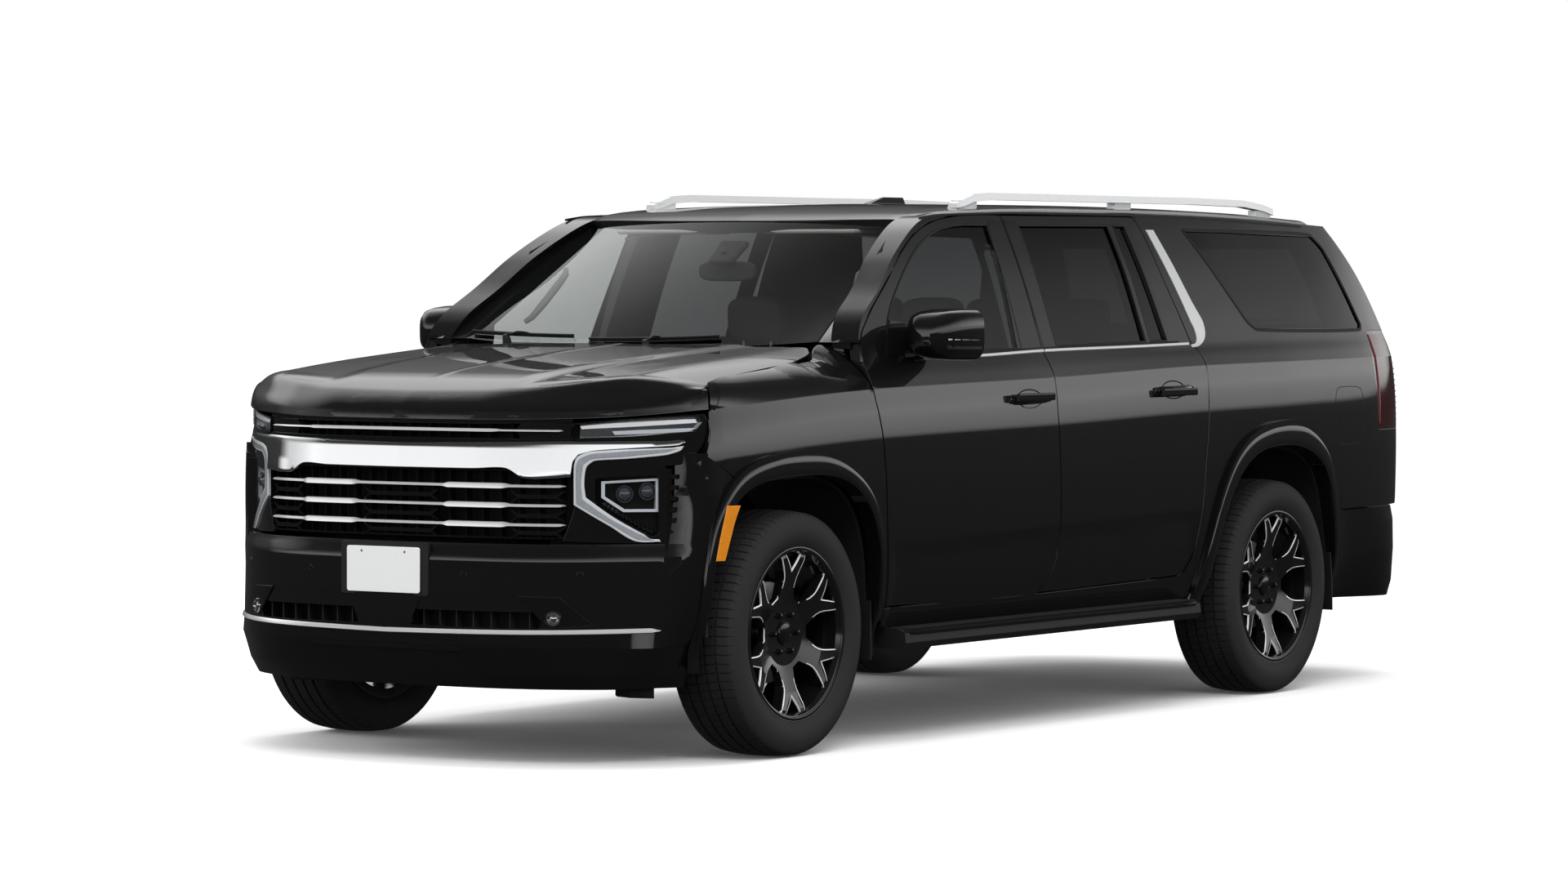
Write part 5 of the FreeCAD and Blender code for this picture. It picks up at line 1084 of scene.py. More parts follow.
SLIM_STEP = [(735, 1112), (800, 1116), (930, 1122), (918, 1112), (791, 1102), (740, 1100)]
LAMP_BOX = [(697, 954), (700, 960), (845, 968), (852, 960), (852, 775), (838, 766), (700, 866), (697, 880)]
LAMP_FRAME = [(704, 948), (846, 958), (846, 846), (760, 846), (704, 894)]
FRAME_HOLE = [(714, 940), (838, 949), (838, 856), (764, 856), (714, 898)]
shell = nose_piece(
    "headlamp_shell", GRILLE_PLAN, 8.0, LAMP_OUTER, GLOSS, "gloss_black", [SLIM, LAMP_BOX], 46.0,
)
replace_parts(shell[0], "headlamps")
# Name, setback, outline, material, holes, flange, spacing, edge and step of each piece inside
LAMP_PIECES = (
    ("headlamp_guide", -1.0, C_SHAPE, LIGHT_GUIDE, (), 10.0, 9.0, 3.0, 6.0),
    ("headlamp_guide_core", -3.0, GUIDE_CORE, GUIDE_GREY, (), 6.0, 9.0, 1.5, 6.0),
    ("headlamp_slim_well", 44.0, SLIM, REFLECTOR, (), 6.0, 14.0, 1.2, 8.0),
    ("headlamp_slim_guide", 16.0, SLIM_GUIDE, PLATE_WHITE, (), 18.0, 9.0, 2.0, 8.0),
    ("headlamp_slim_step", 22.0, SLIM_STEP, LIGHT_GUIDE, (), 16.0, 9.0, 2.0, 8.0),
    ("headlamp_slim_cover", 3.0, SLIM, LAMP_CLEAR, (), 5.0, 14.0, 1.2, 8.0),
    # The well at the back of the lamp box: near-black with painted shade of the lamp's depth
    ("headlamp_well", 62.0, LAMP_BOX, CAVITY_SHADE_BLACK, (), 8.0, 14.0, 1.2, 8.0),
    ("headlamp_frame", 26.0, LAMP_FRAME, LIGHT_GUIDE, [FRAME_HOLE], 26.0, 9.0, 1.5, 6.0),
    ("headlamp_cover", 6.0, LAMP_BOX, LAMP_CLEAR, (), 5.0, 14.0, 1.2, 8.0),
)
for name, setback, outline, mat, *rest in LAMP_PIECES:
    nose_piece(name, GRILLE_PLAN, setback, outline, mat, "lamp_glass", *rest)
LENS_DOME = [(0.01, 13), (8, 12.4), (15, 9.5), (20, 4.5), (22, 0), (22, -14), (0.01, -14)]
LENS_RING = [(22.5, 2), (24, 6), (29, 6), (32, -8), (32, -14), (22.5, -14)]
for x, z in ((757, 906), (812, 914)):
    way = ((nose_y(x + 2) - nose_y(x - 2)) / 4, -1.0, 0.0)
    lens_set = (("headlamp_lens", LENS_DOME, LENS, 60.0), ("headlamp_ring", LENS_RING, CHROME, 40.0))
    for name, profile, mat, angle in lens_set:
        mesh = revolve(profile, (x, nose_y(x, 40), z), way, 32)
        solid_pair(name, mesh, mat, "lamp_glass", label="_%d" % x, angle=angle)
leds = []
for k in range(13):
    x, z = 706 + 118 * k / 12, 868 - 92 * k / 12
    leds.append(box_mesh(x - 3.6, x + 3.6, nose_y(x, 34), nose_y(x, 44), z - 2, z + 9))
solid_pair("headlamp_row", gather(leds), REFLECTOR, "lamp_glass")

# Bumper skin, from the bumper's plan round to the wheel arch
SIDE_STATIONS = (-2420, -2330, -2230, -2130)
NOSE_XY = [(0, -2874), (300, -2862), (500, -2824), (640, -2758), (760, -2660), (881, -2516)]
SETBACK = curve(
    (262, 66), (312, 26), (400, 2), (470, 0), (600, 2), (686, 4), (692, 5), (742, 25), (900, 62), (1040, 70),
)
TUCK = curve((260, 46), (330, 16), (400, 0), (1100, 0))
round_plan = np.array(NOSE_XY + [(float(side_x(y, 600)), y) for y in SIDE_STATIONS], float)
nose_knots = np.concatenate([[0], np.cumsum(np.hypot(*np.diff(round_plan, axis=0).T))])


def bumper_surface(u, v):
    """Bumper: u runs round the nose from the centre line and v is the height."""
    u, v = np.asarray(u, float), np.asarray(v, float)
    t, last = np.abs(u), len(nose_knots) - 1
    xs = [x - (TUCK(v) if x > 800 else 0 * v) for x, _ in NOSE_XY]
    xs += [side_x(y, np.maximum(v, 400.0)) - TUCK(v) for y in SIDE_STATIONS]
    ys = [y + SETBACK(v) for _, y in NOSE_XY] + [y + 0 * v for y in SIDE_STATIONS]
    i = np.clip(np.searchsorted(nose_knots, t, side="right") - 1, 0, last - 1)
    before, after = np.maximum(i - 1, 0), np.minimum(i + 2, last)
    h = nose_knots[i + 1] - nose_knots[i]
    out = []
    for table, flat_start in ((np.stack(xs, -1), False), (np.stack(ys, -1), True)):
        p, q = take(table, i), take(table, i + 1)
        leave = (q - take(table, before)) / (nose_knots[i + 1] - nose_knots[before])
        arrive = (take(table, after) - p) / (nose_knots[after] - nose_knots[i])
        if flat_start:
            leave = np.where(i == 0, 0.0, leave)
        out.append(hermite(p, q, leave * h, arrive * h, (t - nose_knots[i]) / h))
    return np.stack([np.sign(u) * out[0], out[1], v], -1)


nose_ts = np.linspace(0, nose_knots[-1], 400)
track = bumper_surface(nose_ts, np.full(400, 600.0))


def at_x(x, z):
    """Coordinates on the bumper of a point of the nose."""
    return float(np.interp(x, track[:300, 0], nose_ts[:300])), z


def at_y(y, z):
    """Coordinates on the bumper of a point of its side."""
    return float(np.interp(y, track[:, 1], nose_ts)), z


# The outline is one half, from the centre line round to the arch lip
bumper_half = [at_x(x, 404) for x in (300, 640, 881)]
bumper_half += [at_y(y, z) for y, z in ((-2409, 404), (-2406, 540), (-2391, 720), (-2342, 868), (-2258, 950))]
bumper_half += [at_y(-2391, 1025), at_y(-2425, 1010)]
for x, z in ((899, 1000), (917, 950), (918, 680), (893, 640), (882, 652), (878, 742), (640, 742), (300, 742)):
    bumper_half.append(at_x(x, z))
bumper_half = [(0, 404)] + bumper_half + [(0, 742)]
opening = [at_x(x, z) for x, z in ((150, 566), (516, 575), (642, 571), (731, 479), (600, 468), (107, 468))]
bumper = panel_mesh(bumper_surface, (0.5, -1.0, 0.0), bumper_half, [opening], 20.0, 0.4, 12.0, 9.0, 1.8, 32.0)
skin_pair("bumper_skin", bumper, PAINT)

# Lower intake: a backing sheet of painted shade, grid, fog lamps and their bezels
INTAKE_SHADE_OUTLINE = [(104, 576), (520, 582), (650, 580), (740, 474), (600, 458), (100, 458)]
nose_piece("intake_backing_shade", BUMPER_PLAN, 52.0, INTAKE_SHADE_OUTLINE, CAVITY_SHADE_BLACK, "black_plastic", flange=10.0, spacing=30.0)
grid = []
for x in (150, 215, 280, 345, 410, 475, 540):
    grid.append(box_mesh(x - 2, x + 2, bumper_y(x, 16), bumper_y(x, 50), 462, 578))
for x in np.arange(104, 560, 24.0):
    grid.append(box_mesh(x, x + 24, bumper_y(x + 12, 20), bumper_y(x + 12, 46), 519, 524))
solid_pair("intake_grid", gather(grid), PLASTIC, "black_plastic")
FOG_X, FOG_Z = 620, 500
WEDGE = [(512, 573), (640, 570), (728, 480), (606, 470)]
fog_hole = round_points((FOG_X, FOG_Z), (25, 25), 20)
nose_piece("fog_bezel", BUMPER_PLAN, -3.4, WEDGE, GLOSS, "gloss_black", [fog_hole], flange=8.0)
FOG_DOME = [(0.01, 7), (9, 6), (16, 2), (17, -4), (17, -12), (0.01, -12)]
FOG_RING = [(18, 4), (20, 9), (24, 9), (26, 2), (26, -12), (18, -12)]
for name, profile, mat, slot, angle in (
    ("fog_lens", FOG_DOME, REFLECTOR, "lamp_glass", 60.0), ("fog_ring", FOG_RING, CHROME, "bright", 40.0),
):
    mesh = revolve(profile, (FOG_X, bumper_y(FOG_X, -0.5), FOG_Z), (0.45, -1, 0), 30)
    solid_pair(name, mesh, mat, slot, angle=angle)

# Bright strip on the chin, pointed at its ends
CHIN_HALF, CHIN_PROUD, CHIN_BACK = 8.5, 9.0, -8.0
CHIN_SECTION = ((CHIN_BACK, -1), (3.6, -1), (CHIN_PROUD, -0.6), (6.48, 0.5), (2.7, 1), (CHIN_BACK, 1))
chin_reach = at_x(874, 0)[0]
chin = []
for t in np.linspace(-chin_reach, chin_reach, 181):
    point, n = surface_point(bumper_surface, t, 447 + abs(t) * 0.011, (0.3 * np.sign(t), -1, 0))
    n[2] = 0
    half = CHIN_HALF * float(np.clip((chin_reach - abs(t)) / 30.0, 0.15, 1.0))
    chin += [point + n / np.linalg.norm(n) * out + (0, 0, half * share) for out, share in CHIN_SECTION]
solid("chin_bright_strip", (chin, ring_faces(181, 6)), TRIM_BRIGHT, "bright", angle=40.0)

# Corner vents with their slats, in near-black with painted shade of the vent's depth
slats = [box_mesh(850, 884, -2500, -2470, 652, 990)]
for z in range(668, 957, 36):
    lean = [(866, -2500, z), (898, -2468, z), (898, -2462, z + 10), (866, -2494, z + 10)]
    slats.append((lean + [(x, y, top + 5) for x, y, top in lean], ring_faces(2, 4)))
solid_pair("corner_vent", gather(slats), CAVITY_SHADE_BLACK, "gloss_black")


# Number plate with its bracket, parking sensors, valance slot drawn as a strip of painted shade, and air
# deflectors
def flat_card(name, half, z0, z1, y, thickness, mat, slot, corner, bevel):
    arc = []
    for cx, cz, start in (
        (1, z1 - corner, 0), (-1, z1 - corner, 90), (-1, z0 + corner, 180), (1, z0 + corner, 270),
    ):
        for turn in np.radians(start + 22.5 * np.arange(5)):
            arc.append((cx * (half - corner) + corner * math.cos(turn), cz + corner * math.sin(turn)))
    solid(name, prism_xz(arc, lambda x: y, thickness), mat, slot, bevel=bevel)


flat_card("plate_bracket", 182, 562, 740, -2873, 14, PLASTIC, "black_plastic", 10.0, 2.0)
flat_card("plate_blank", 152, 572, 724, -2880, 4.0, PLATE_WHITE, "bright", 9.0, 0.8)
SCREW = [(0.01, 1.2), (3.2, 1.0), (4.2, 0), (4.2, -3), (0.01, -3)]
for x in (-90, 90):
    solid(
        "plate_screw_%d" % (x + 90), revolve(SCREW, (x, -2880.2, 708), AHEAD, 14), STEEL, "steel", angle=50.0,
    )
SENSOR = [(0.01, 3.4), (8, 3.2), (9.5, 2.2), (11, 2.8), (12, 1.6), (12, -6), (0.01, -6)]
for x, z in ((319, 642), (690, 648)):
    point, n = surface_point(bumper_surface, *at_x(x, z), (0.3, -1, 0))
    solid_pair(
        "parking_sensor", revolve(SENSOR, point, n, 24), GLOSS, "gloss_black", label="_%d" % x, angle=30.0,
    )
# Flat dark strip on the bumper's lower edge: painted shade of the valance opening
VALANCE_SHADE_OUTLINE = mirror_outline([(0, 404), (290, 402), (322, 392), (300, 384), (0, 386)])
nose_piece(
    "valance_slot_shade", BUMPER_PLAN, lambda x, z: SETBACK(z) - 2.4, VALANCE_SHADE_OUTLINE, CAVITY_SHADE_BLACK, "black_plastic", flange=5.0,
    spacing=20.0, pair=False,
)
deflector = []
for x in (632, 706, 782):
    y = -2462 + 26 * ((x - 706) / 76) ** 2
    deflector += [(x, y, 228), (x, y, 330), (x, y + 12, 330), (x, y + 12, 222)]
solid_pair("air_deflector", (deflector, ring_faces(3, 4)), PLASTIC, "black_plastic", bevel=2.0)

# Wheels and tyres
SPOKE_UNIT = 296.0
FACE = curve((0, 65), (110, 71), (200, 97), (262, 107), (276, 105))
WHEELS = (
    ("front_left", 1, 871.0, FRONT_AXLE_Y), ("front_right", -1, 871.0, FRONT_AXLE_Y),
    ("rear_left", 1, 868.5, REAR_AXLE_Y), ("rear_right", -1, 868.5, REAR_AXLE_Y),
)
TYRE_PROFILE = [
    (-104, 291), (-118, 293), (-124, 301), (-132, 322), (-136.5, 346), (-134, 368), (-129, 386), (-124, 398),
    (-118, 406),
]
RIB_EDGES = [
    (-112, 410), (-71, 415.2), (-70, 407), (-62, 407), (-61, 415.8), (-26.5, 417), (-25.5, 409), (-18, 409),
    (-17, 417),
]
PITCHES, SIPE_DEPTH = 84, 4.5


def tyre_mesh():
    """Tyre with four grooves round it and fine cuts across its ribs and shoulders."""
    half = TYRE_PROFILE + RIB_EDGES
    section = half + [(-x, r) for x, r in half[::-1]]
    verts = []
    for pitch in range(PITCHES):
        for k, part in enumerate((0.0, 0.035, 0.115, 0.15)):
            for x, r in section:
                angle = 2 * math.pi * (pitch + part) / PITCHES + 0.012 * math.sin(x / 40.0) + 0.00016 * x
                on_rib = abs(x) <= 124 and r > 397 and r not in (407, 409)
                if on_rib and k in (1, 2):
                    r -= SIPE_DEPTH * (0.6 if abs(x) > 115 else 1.0)
                verts.append((x, r * math.sin(angle), r * math.cos(angle)))
    return verts, ring_faces(PITCHES * 4, len(section), closed=True)


def turned(points, angle):
    c, s = math.cos(angle), math.sin(angle)
    return [(y * c + z * s, z * c - y * s) for y, z in points]


def wheel_openings():
    """Outlines of the wide openings between the spokes and of the small ones within each fork."""
    left = [(w * SPOKE_UNIT, r * SPOKE_UNIT) for r, w in ((0.40, 0.15), (0.60, 0.122), (0.90, 0.2575))]
    right = turned([(-y, z) for y, z in left], math.radians(60))
    rim = 0.935 * SPOKE_UNIT
    arc = [(rim * math.sin(a), rim * math.cos(a)) for a in np.radians((21, 25.5, 30, 34.5, 39))]
    fork = [(y * SPOKE_UNIT, z * SPOKE_UNIT) for y, z in ((-0.165, 0.93), (0, 0.72), (0.165, 0.93))]
    return [turned(loop, math.radians(60 * k)) for k in range(6) for loop in (left + arc + right[::-1], fork)]


def wheel_ribbon(loop, width=3.6, lift=1.1, drop=5.0):
    """Bright machined band along the edge of one opening."""
    dense = smooth_loop(loop if signed_area(np.array(loop)) > 0 else loop[::-1], 9.0, 40.0)
    rows = ((offset_loop(dense, -0.4)[0], -drop), (dense, lift), (offset_loop(dense, width)[0], lift))
    verts = [(float(FACE(math.hypot(y, z))) + height, y, z) for points, height in rows for y, z in points]
    return verts, ring_faces(3, len(dense), caps=False)


def at_wheel(mesh, s, x, y):
    verts = np.array(mesh[0], float) * (s, 1.0, 1.0) + (s * x, y, AXLE_Z)
    return verts, [list(f)[::s] for f in mesh[1]]


NUT = [(0.01, 16), (6, 15), (9.5, 11), (10.5, 0), (12.5, -3), (12.5, -16)]
HUB_CAP = [(0.01, 9), (22, 8.4), (33, 6.2), (34, 4.5), (36, 6.0), (39.5, 4), (40.5, -3), (40.5, -14)]
DISC_PROFILE = [(84, 1.2), (90, 1.8), (168, 1.8), (172.5, 0.6), (172.5, -30.6), (168, -31.6), (90, -31.6)]
RIM_LIP = [(279, 117), (283, 122.5), (291, 124.2), (295.4, 122.5), (296.4, 112)]
VALVE = [(0.01, 34), (3.2, 33), (3.6, 30), (3.6, 22), (4.6, 20), (5.2, 0)]
NUT_CIRCLE, VALVE_CIRCLE, VALVE_TURN = 69.85, 254, 0.52
nut_turns = [math.radians(60 * k + 30) for k in range(6)]
nuts = [revolve(NUT, (69, NUT_CIRCLE * math.sin(a), NUT_CIRCLE * math.cos(a)), OUT, 6) for a in nut_turns]
spoke_edges = gather([wheel_ribbon(loop) for loop in wheel_openings()])
valve_place = (92, VALVE_CIRCLE * math.sin(VALVE_TURN), VALVE_CIRCLE * math.cos(VALVE_TURN))
WHEEL_PARTS = (
    ("machined_edges_", spoke_edges, MACHINED, "wheel_metal", 180.0),
    ("lug_nuts_", gather(nuts), GLOSS, "gloss_black", 25.0),
    ("hub_cap_", revolve(HUB_CAP, (68, 0, 0), OUT, 48), GLOSS, "gloss_black", 40.0),
    ("brake_disc_", revolve(DISC_PROFILE, (0, 0, 0), OUT, 72), DISC, "steel", 30.0),
    ("rim_lip_", revolve(RIM_LIP, (0, 0, 0), OUT, 96), WHEEL_BLACK, "gloss_black", 40.0),
    ("valve_", revolve(VALVE, valve_place, (0.6, -0.4, -0.69), 14), RUBBER, "tyre", 30.0),
)
tyre = tyre_mesh()
for word, s, x, y in WHEELS:
    tread = solid("tread_" + word, at_wheel(tyre, s, x, y), RUBBER, "tyre", "wheel_" + word, 28.0)
    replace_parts(tread, "tyre_" + word)
    for label, mesh, mat, slot, angle in WHEEL_PARTS:
        solid(label + word, at_wheel(mesh, s, x, y), mat, slot, "wheel_" + word, angle)


# Trim along the flanks
def side_strip(
    name, points, half, proud, mat, slot, bodies=BODY_PAIR, closed=False, base=0.0, sharp=50.0, spacing=16.0,
):
    """Strip that lies on the flank along (y, z) points, on both sides of the body."""
    mesh = surface_ribbon(side, OUT, points, half, proud, base, spacing, sharp, closed)
    solid_pair(name, mesh, mat, slot, bodies, angle=35.0)


def side_bead(points, spacing, sharp, section):
    """Closed bead of the given section along a line of the flank."""
    u, v = smooth_loop(points, spacing, sharp).T
    return sweep_mesh(side(u, v), normals_of(side, u, v, OUT), section, True)


def side_panel(
    name, outline, mat, bodies=BODY_PAIR, lift=2.4, flange=4.0, edge=0.8, step=9.0, sharp=40.0,
    spacing=24.0,
):
    skin_pair(
        name, panel_mesh(side, OUT, outline, (), spacing, edge, flange, step, lift, sharp), mat, bodies,
    )


# Pillar covers, and the bars of the rear doors' windows
COVER_FRONT = [
    (-381, 1352), (-312, 1812), (-298, 1826), (-222, 1830), (-212, 1822), (-213, 1358), (-217, 1352),
]
COVER_REAR = [
    (-196, 1362), (-197, 1824), (-188, 1832), (-116, 1832), (-107, 1822), (-107, 1364), (-112, 1358),
    (-190, 1358),
]
for name, outline, bodies in (
    ("pillar_cover_front", COVER_FRONT, FRONT_DOORS), ("pillar_cover_rear", COVER_REAR, REAR_DOORS),
    ("window_bar_rear", [(562, 1372), (543, 1822), (580, 1826), (591, 1378)], REAR_DOORS),
    ("window_post_rear", [(719, 1382), (674, 1816), (708, 1820), (752, 1388)], REAR_DOORS),
):
    side_panel(name, outline, GLOSS, bodies)

# Seals round the glass
for name, window, grow, half, proud, base, bodies in (
    ("window_seal_front", FRONT_WINDOW, -1.0, 4.5, 1.6, 1.4, FRONT_DOORS),
    ("window_seal_rear", REAR_WINDOW, -1.0, 4.5, 1.6, 1.4, REAR_DOORS),
    ("window_seal_rear_light", REAR_DOOR_LIGHT, -1.0, 4.0, 1.6, 1.4, REAR_DOORS),
    ("window_seal_quarter", QUARTER_WINDOW, -3.0, 6.5, 1.8, 1.2, BODY_PAIR),
):
    side_strip(name, inset(window, grow), half, proud, SEAL, "tyre", bodies, True, base)

# Bright moulding along the belt and up behind the rear door
BELT_STRIP = curve((-1100, 1334), (-677, 1340), (-169, 1354), (500, 1362), (948, 1369))
for name, y0, y1, count, up, half, proud, mat, slot, bodies in (
    ("belt_strip_front", -1085, -206, 12, 0, 5.5, 4.0, TRIM_BRIGHT, "bright", FRONT_DOORS),
    ("belt_strip_rear", -196, 872, 14, 0, 5.5, 4.0, TRIM_BRIGHT, "bright", REAR_DOORS),
    ("belt_seal_front", -1040, -212, 12, 9, 4.0, 3.0, SEAL, "tyre", FRONT_DOORS),
    ("belt_seal_rear", -190, 800, 14, 9, 4.0, 3.0, SEAL, "tyre", REAR_DOORS),
):
    line = [(float(y), float(BELT_STRIP(y)) + up) for y in np.linspace(y0, y1, count)]
    side_strip(name, line, half, proud, mat, slot, bodies, base=1.5)
BRIGHT_STRIP = [
    (884, 1800), (941, 1652), (991, 1526), (1030, 1449), (1028, 1420), (1012, 1392), (984, 1372), (940, 1357),
    (890, 1353), (888, 1364), (930, 1370), (946, 1385), (950, 1412), (936, 1452), (912, 1533), (876, 1645),
    (828, 1800),
]
side_panel("bright_strip", BRIGHT_STRIP, TRIM_BRIGHT, BODY_PAIR, 4.6, 7.0, 2.2, 8.0, 35.0)
DRIP_LINE = [(-770, 1829), (-672, 1840), (-246, 1853), (300, 1857), (1140, 1850), (2141, 1823)]
side_strip("drip_moulding", DRIP_LINE, 4.0, 2.0, SEAL, "tyre", base=0.6, sharp=80.0)

# Pull handles
HANDLE_SECTION = (
    (-1, -0.6), (-0.85, 0.35), (-0.45, 0.95), (0.2, 1.0), (0.8, 0.6), (1, -0.1), (0.9, -0.9), (-0.5, -1.0),
)


def handle(name, y0, y1, z0, z1, bodies):
    """Pull handle on two feet, with a bright line along it and a rim round its cup."""
    def flank(t):
        return side(y0 + (y1 - y0) * t, z0 + (z1 - z0) * t)

    arches = [math.sin(math.pi * k / 40) for k in range(41)]
    path = [flank(k / 40) + (25.0 * min(1.0, arch ** 0.55 * 1.08), 0, 0) for k, arch in enumerate(arches)]
    widths = [17.0 * min(1.0, 0.45 + 1.3 * arch ** 0.6) for arch in arches]
    grip = sweep_mesh(
        path, [OUT] * 41, lambda i: [(widths[i] * c, -3.0 + 7.5 * d) for c, d in HANDLE_SECTION]
    )
    line = [p + (4.6, 0, -1.0) for p in path[5:-5]]
    bright = sweep_mesh(line, [OUT] * len(line), [(-2.4, -2), (2.4, -2), (2.0, 0.8), (-2.0, 0.8)])
    cup = round_points(((y0 + y1) / 2, (z0 + z1) / 2 + 1), (88, 33), 28)
    rim = side_bead(cup, 8.0, 60.0, [(-3.5, -1), (3.5, -1), (2.0, 2.6), (-1.0, 3.2)])
    feet = [box_mesh(x - 2, x + 9, y - 22, y + 22, z - 13, z + 13) for x, y, z in (flank(0.04), flank(0.96))]
    for label, mesh, mat, slot, bevel in (
        ("", grip, PAINT, "paint", 0), ("_bright", bright, CHROME, "bright", 0),
        ("_rim", rim, PAINT, "paint", 0),
        ("_pads", gather(feet), PAINT, "paint", 3.5),
    ):
        solid_pair(name + label, mesh, mat, slot, bodies, angle=50.0, bevel=bevel)


handle("handle_front", -502, -246, 1180, 1184, FRONT_DOORS)
handle("handle_rear", 542, 809, 1195, 1199, REAR_DOORS)

# Door mirrors: rounded shell, glass, lower band, lamp strip and foot
MIRROR_X, MIRROR_Z, MIRROR_POINTS = 1064.0, 1420.0, 44
# Distance along the car, scale and drop of each ring of the shell
STATIONS = [
    (-1207, 0.3, -8), (-1198, 0.55, -6), (-1180, 0.74, -4), (-1150, 0.88, -2), (-1110, 0.95, -1),
    (-1060, 0.985, 0),
    (-1010, 1.0, 0), (-982, 1.0, 0), (-968, 1.0, 0),
]
SHELL_RETURN = [(-968, 0.93, 0), (-978, 0.9, 0)]
ARM_RINGS = (
    (946, -1150, -1040, 1330, 1366), (985, -1146, -1046, 1332, 1368), (1040, -1140, -1052, 1342, 1376),
)
SAIL = [(-1262, 1352), (-1040, 1344), (-1044, 1396), (-1090, 1460), (-1180, 1470), (-1225, 1420)]


def mirror_rings(stations):
    verts = []
    for y, scale, drop in stations:
        for k in range(MIRROR_POINTS):
            a = 2 * math.pi * k / MIRROR_POINTS
            c, s = math.cos(a), math.sin(a)
            x, z = 107 * math.copysign(abs(c) ** 0.45, c), 91 * math.copysign(abs(s) ** 0.55, s)
            if z < 0:
                z *= 1.0 - 0.12 * (x < 0) * (-x / 106)
            verts.append((MIRROR_X + x * scale, y, MIRROR_Z + drop + z * scale))
    return verts


def mirror_strip(z_mid, half, y_from, y_to, proud):
    """Strip on the mirror shell, round its front and outer end."""
    ys = np.linspace(y_from, y_to, 14)
    section = ((-6, -half), (proud * 0.6, -half), (proud, 0), (proud * 0.6, half), (-6, half))
    verts = []
    for y, scale in zip(ys, np.interp(ys, [s[0] for s in STATIONS], [s[1] for s in STATIONS])):
        x, z = MIRROR_X + 106 * scale * 0.985, z_mid - (y + 1000) * 0.02
        verts += [(x + dx, y, z + dz) for dx, dz in section]
    return verts, ring_faces(len(ys), len(section))


shell_rings = STATIONS + SHELL_RETURN
glass_rings = mirror_rings([(-976, 0.91, 0), (-982, 0.91, 0)])
shell_faces = ring_faces(len(shell_rings), MIRROR_POINTS, caps=False) + [list(range(MIRROR_POINTS))]
arm = [(x, y, z) for x, y0, y1, z0, z1 in ARM_RINGS for y, z in ((y0, z0), (y1, z0), (y1, z1), (y0, z1))]
MIRROR_PARTS = (
    ("mirror_shell", (mirror_rings(shell_rings), shell_faces), PAINT, "gloss_black", 0),
    ("mirror_glass", (glass_rings, ring_faces(2, MIRROR_POINTS)), REFLECTOR, "bright", 0),
    ("mirror_arm", (arm, ring_faces(3, 4)), GLOSS, "gloss_black", 12.0),
    ("mirror_lamp", mirror_strip(1402, 5.0, -1170, -1000, 2.4), LAMP_STRIP, "lamp_glass", 0),
    ("mirror_band", mirror_strip(1378, 9.0, -1172, -980, 1.2), PLASTIC, "black_plastic", 0),
)
for name, mesh, mat, slot, bevel in MIRROR_PARTS:
    pair = solid_pair(name, mesh, mat, slot, FRONT_DOORS, angle=42.0, bevel=bevel, segments=3)
    if name == "mirror_shell":
        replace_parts(pair[0], "mirror_left")
        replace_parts(pair[1], "mirror_right")
side_panel("mirror_sail", SAIL, GLOSS, FRONT_DOORS, 4.0, 6.0, 1.5)

# Side marker ahead of the front wheel, running boards, the filler door's gap drawn as a strip of painted
# shade, and the tail lamps' bars
MARKER = [
    (-2319, 865), (-2252, 864), (-2276, 820), (-2302, 752), (-2324, 683), (-2364, 683), (-2350, 752),
    (-2332, 820),
]
side_panel("side_marker", MARKER, AMBER, BODY_PAIR, 21.0, 10.0, 2.0, 7.0, 50.0, 14.0)
treads = [box_mesh(x, x + 4.5, -1230, 810, 399.2, 402.0) for x in np.arange(948, 1022, 10.0)]
treads += [box_mesh(944, 1024, y, y + 3.0, 399.2, 401.0) for y in np.arange(-1190, 800, 44.0)]
solid_pair("board_tread", gather(treads), PLASTIC, "black_plastic")
edge_path = [(1034.0 - (8 if abs(y + 215) > 1010 else 0), y, 384.0) for y in np.linspace(-1250, 830, 40)]
board_edge = sweep_mesh(edge_path, [OUT] * 40, [(-7, -2), (7, -2), (5, 1.2), (-5, 1.2)])
solid_pair("board_edge", board_edge, GLOSS, "gloss_black", angle=35.0)
FILLER_DOOR = [
    (2012, 1160), (2002, 1080), (2010, 985), (2032, 964), (2216, 964), (2240, 985), (2262, 1150),
    (2244, 1176),
    (2110, 1186), (2030, 1180),
]
# Dark seal-rubber strip on the quarter panel: painted shade of the filler door's shut gap
gap = side_bead(FILLER_DOOR, 12.0, 80.0, [(-1.6, 0.4), (1.6, 0.4), (1.2, 1.5), (-1.2, 1.5)])
solid("filler_door_gap_shade", gap, SEAL, "tyre", angle=40.0)
lamp_line = [(2433 + 7 * math.sin(t * 3), 1390 - 360 * t) for t in np.linspace(0, 1, 15)]
side_strip("tail_lamp_bar", lamp_line, 3.5, 2.4, RED, "red_lens", base=2.2, sharp=85.0)


# Wipers at the foot of the windscreen
def screen_foot(x, up=0.0):
    """Point on the windscreen near its foot: up is the distance up the glass."""
    bow = (abs(x) / 765.0) ** 2
    return np.array([x, -1470.0 + 68.0 * bow + up * 0.823, 1368.0 + 26.0 * bow + up * 0.568])


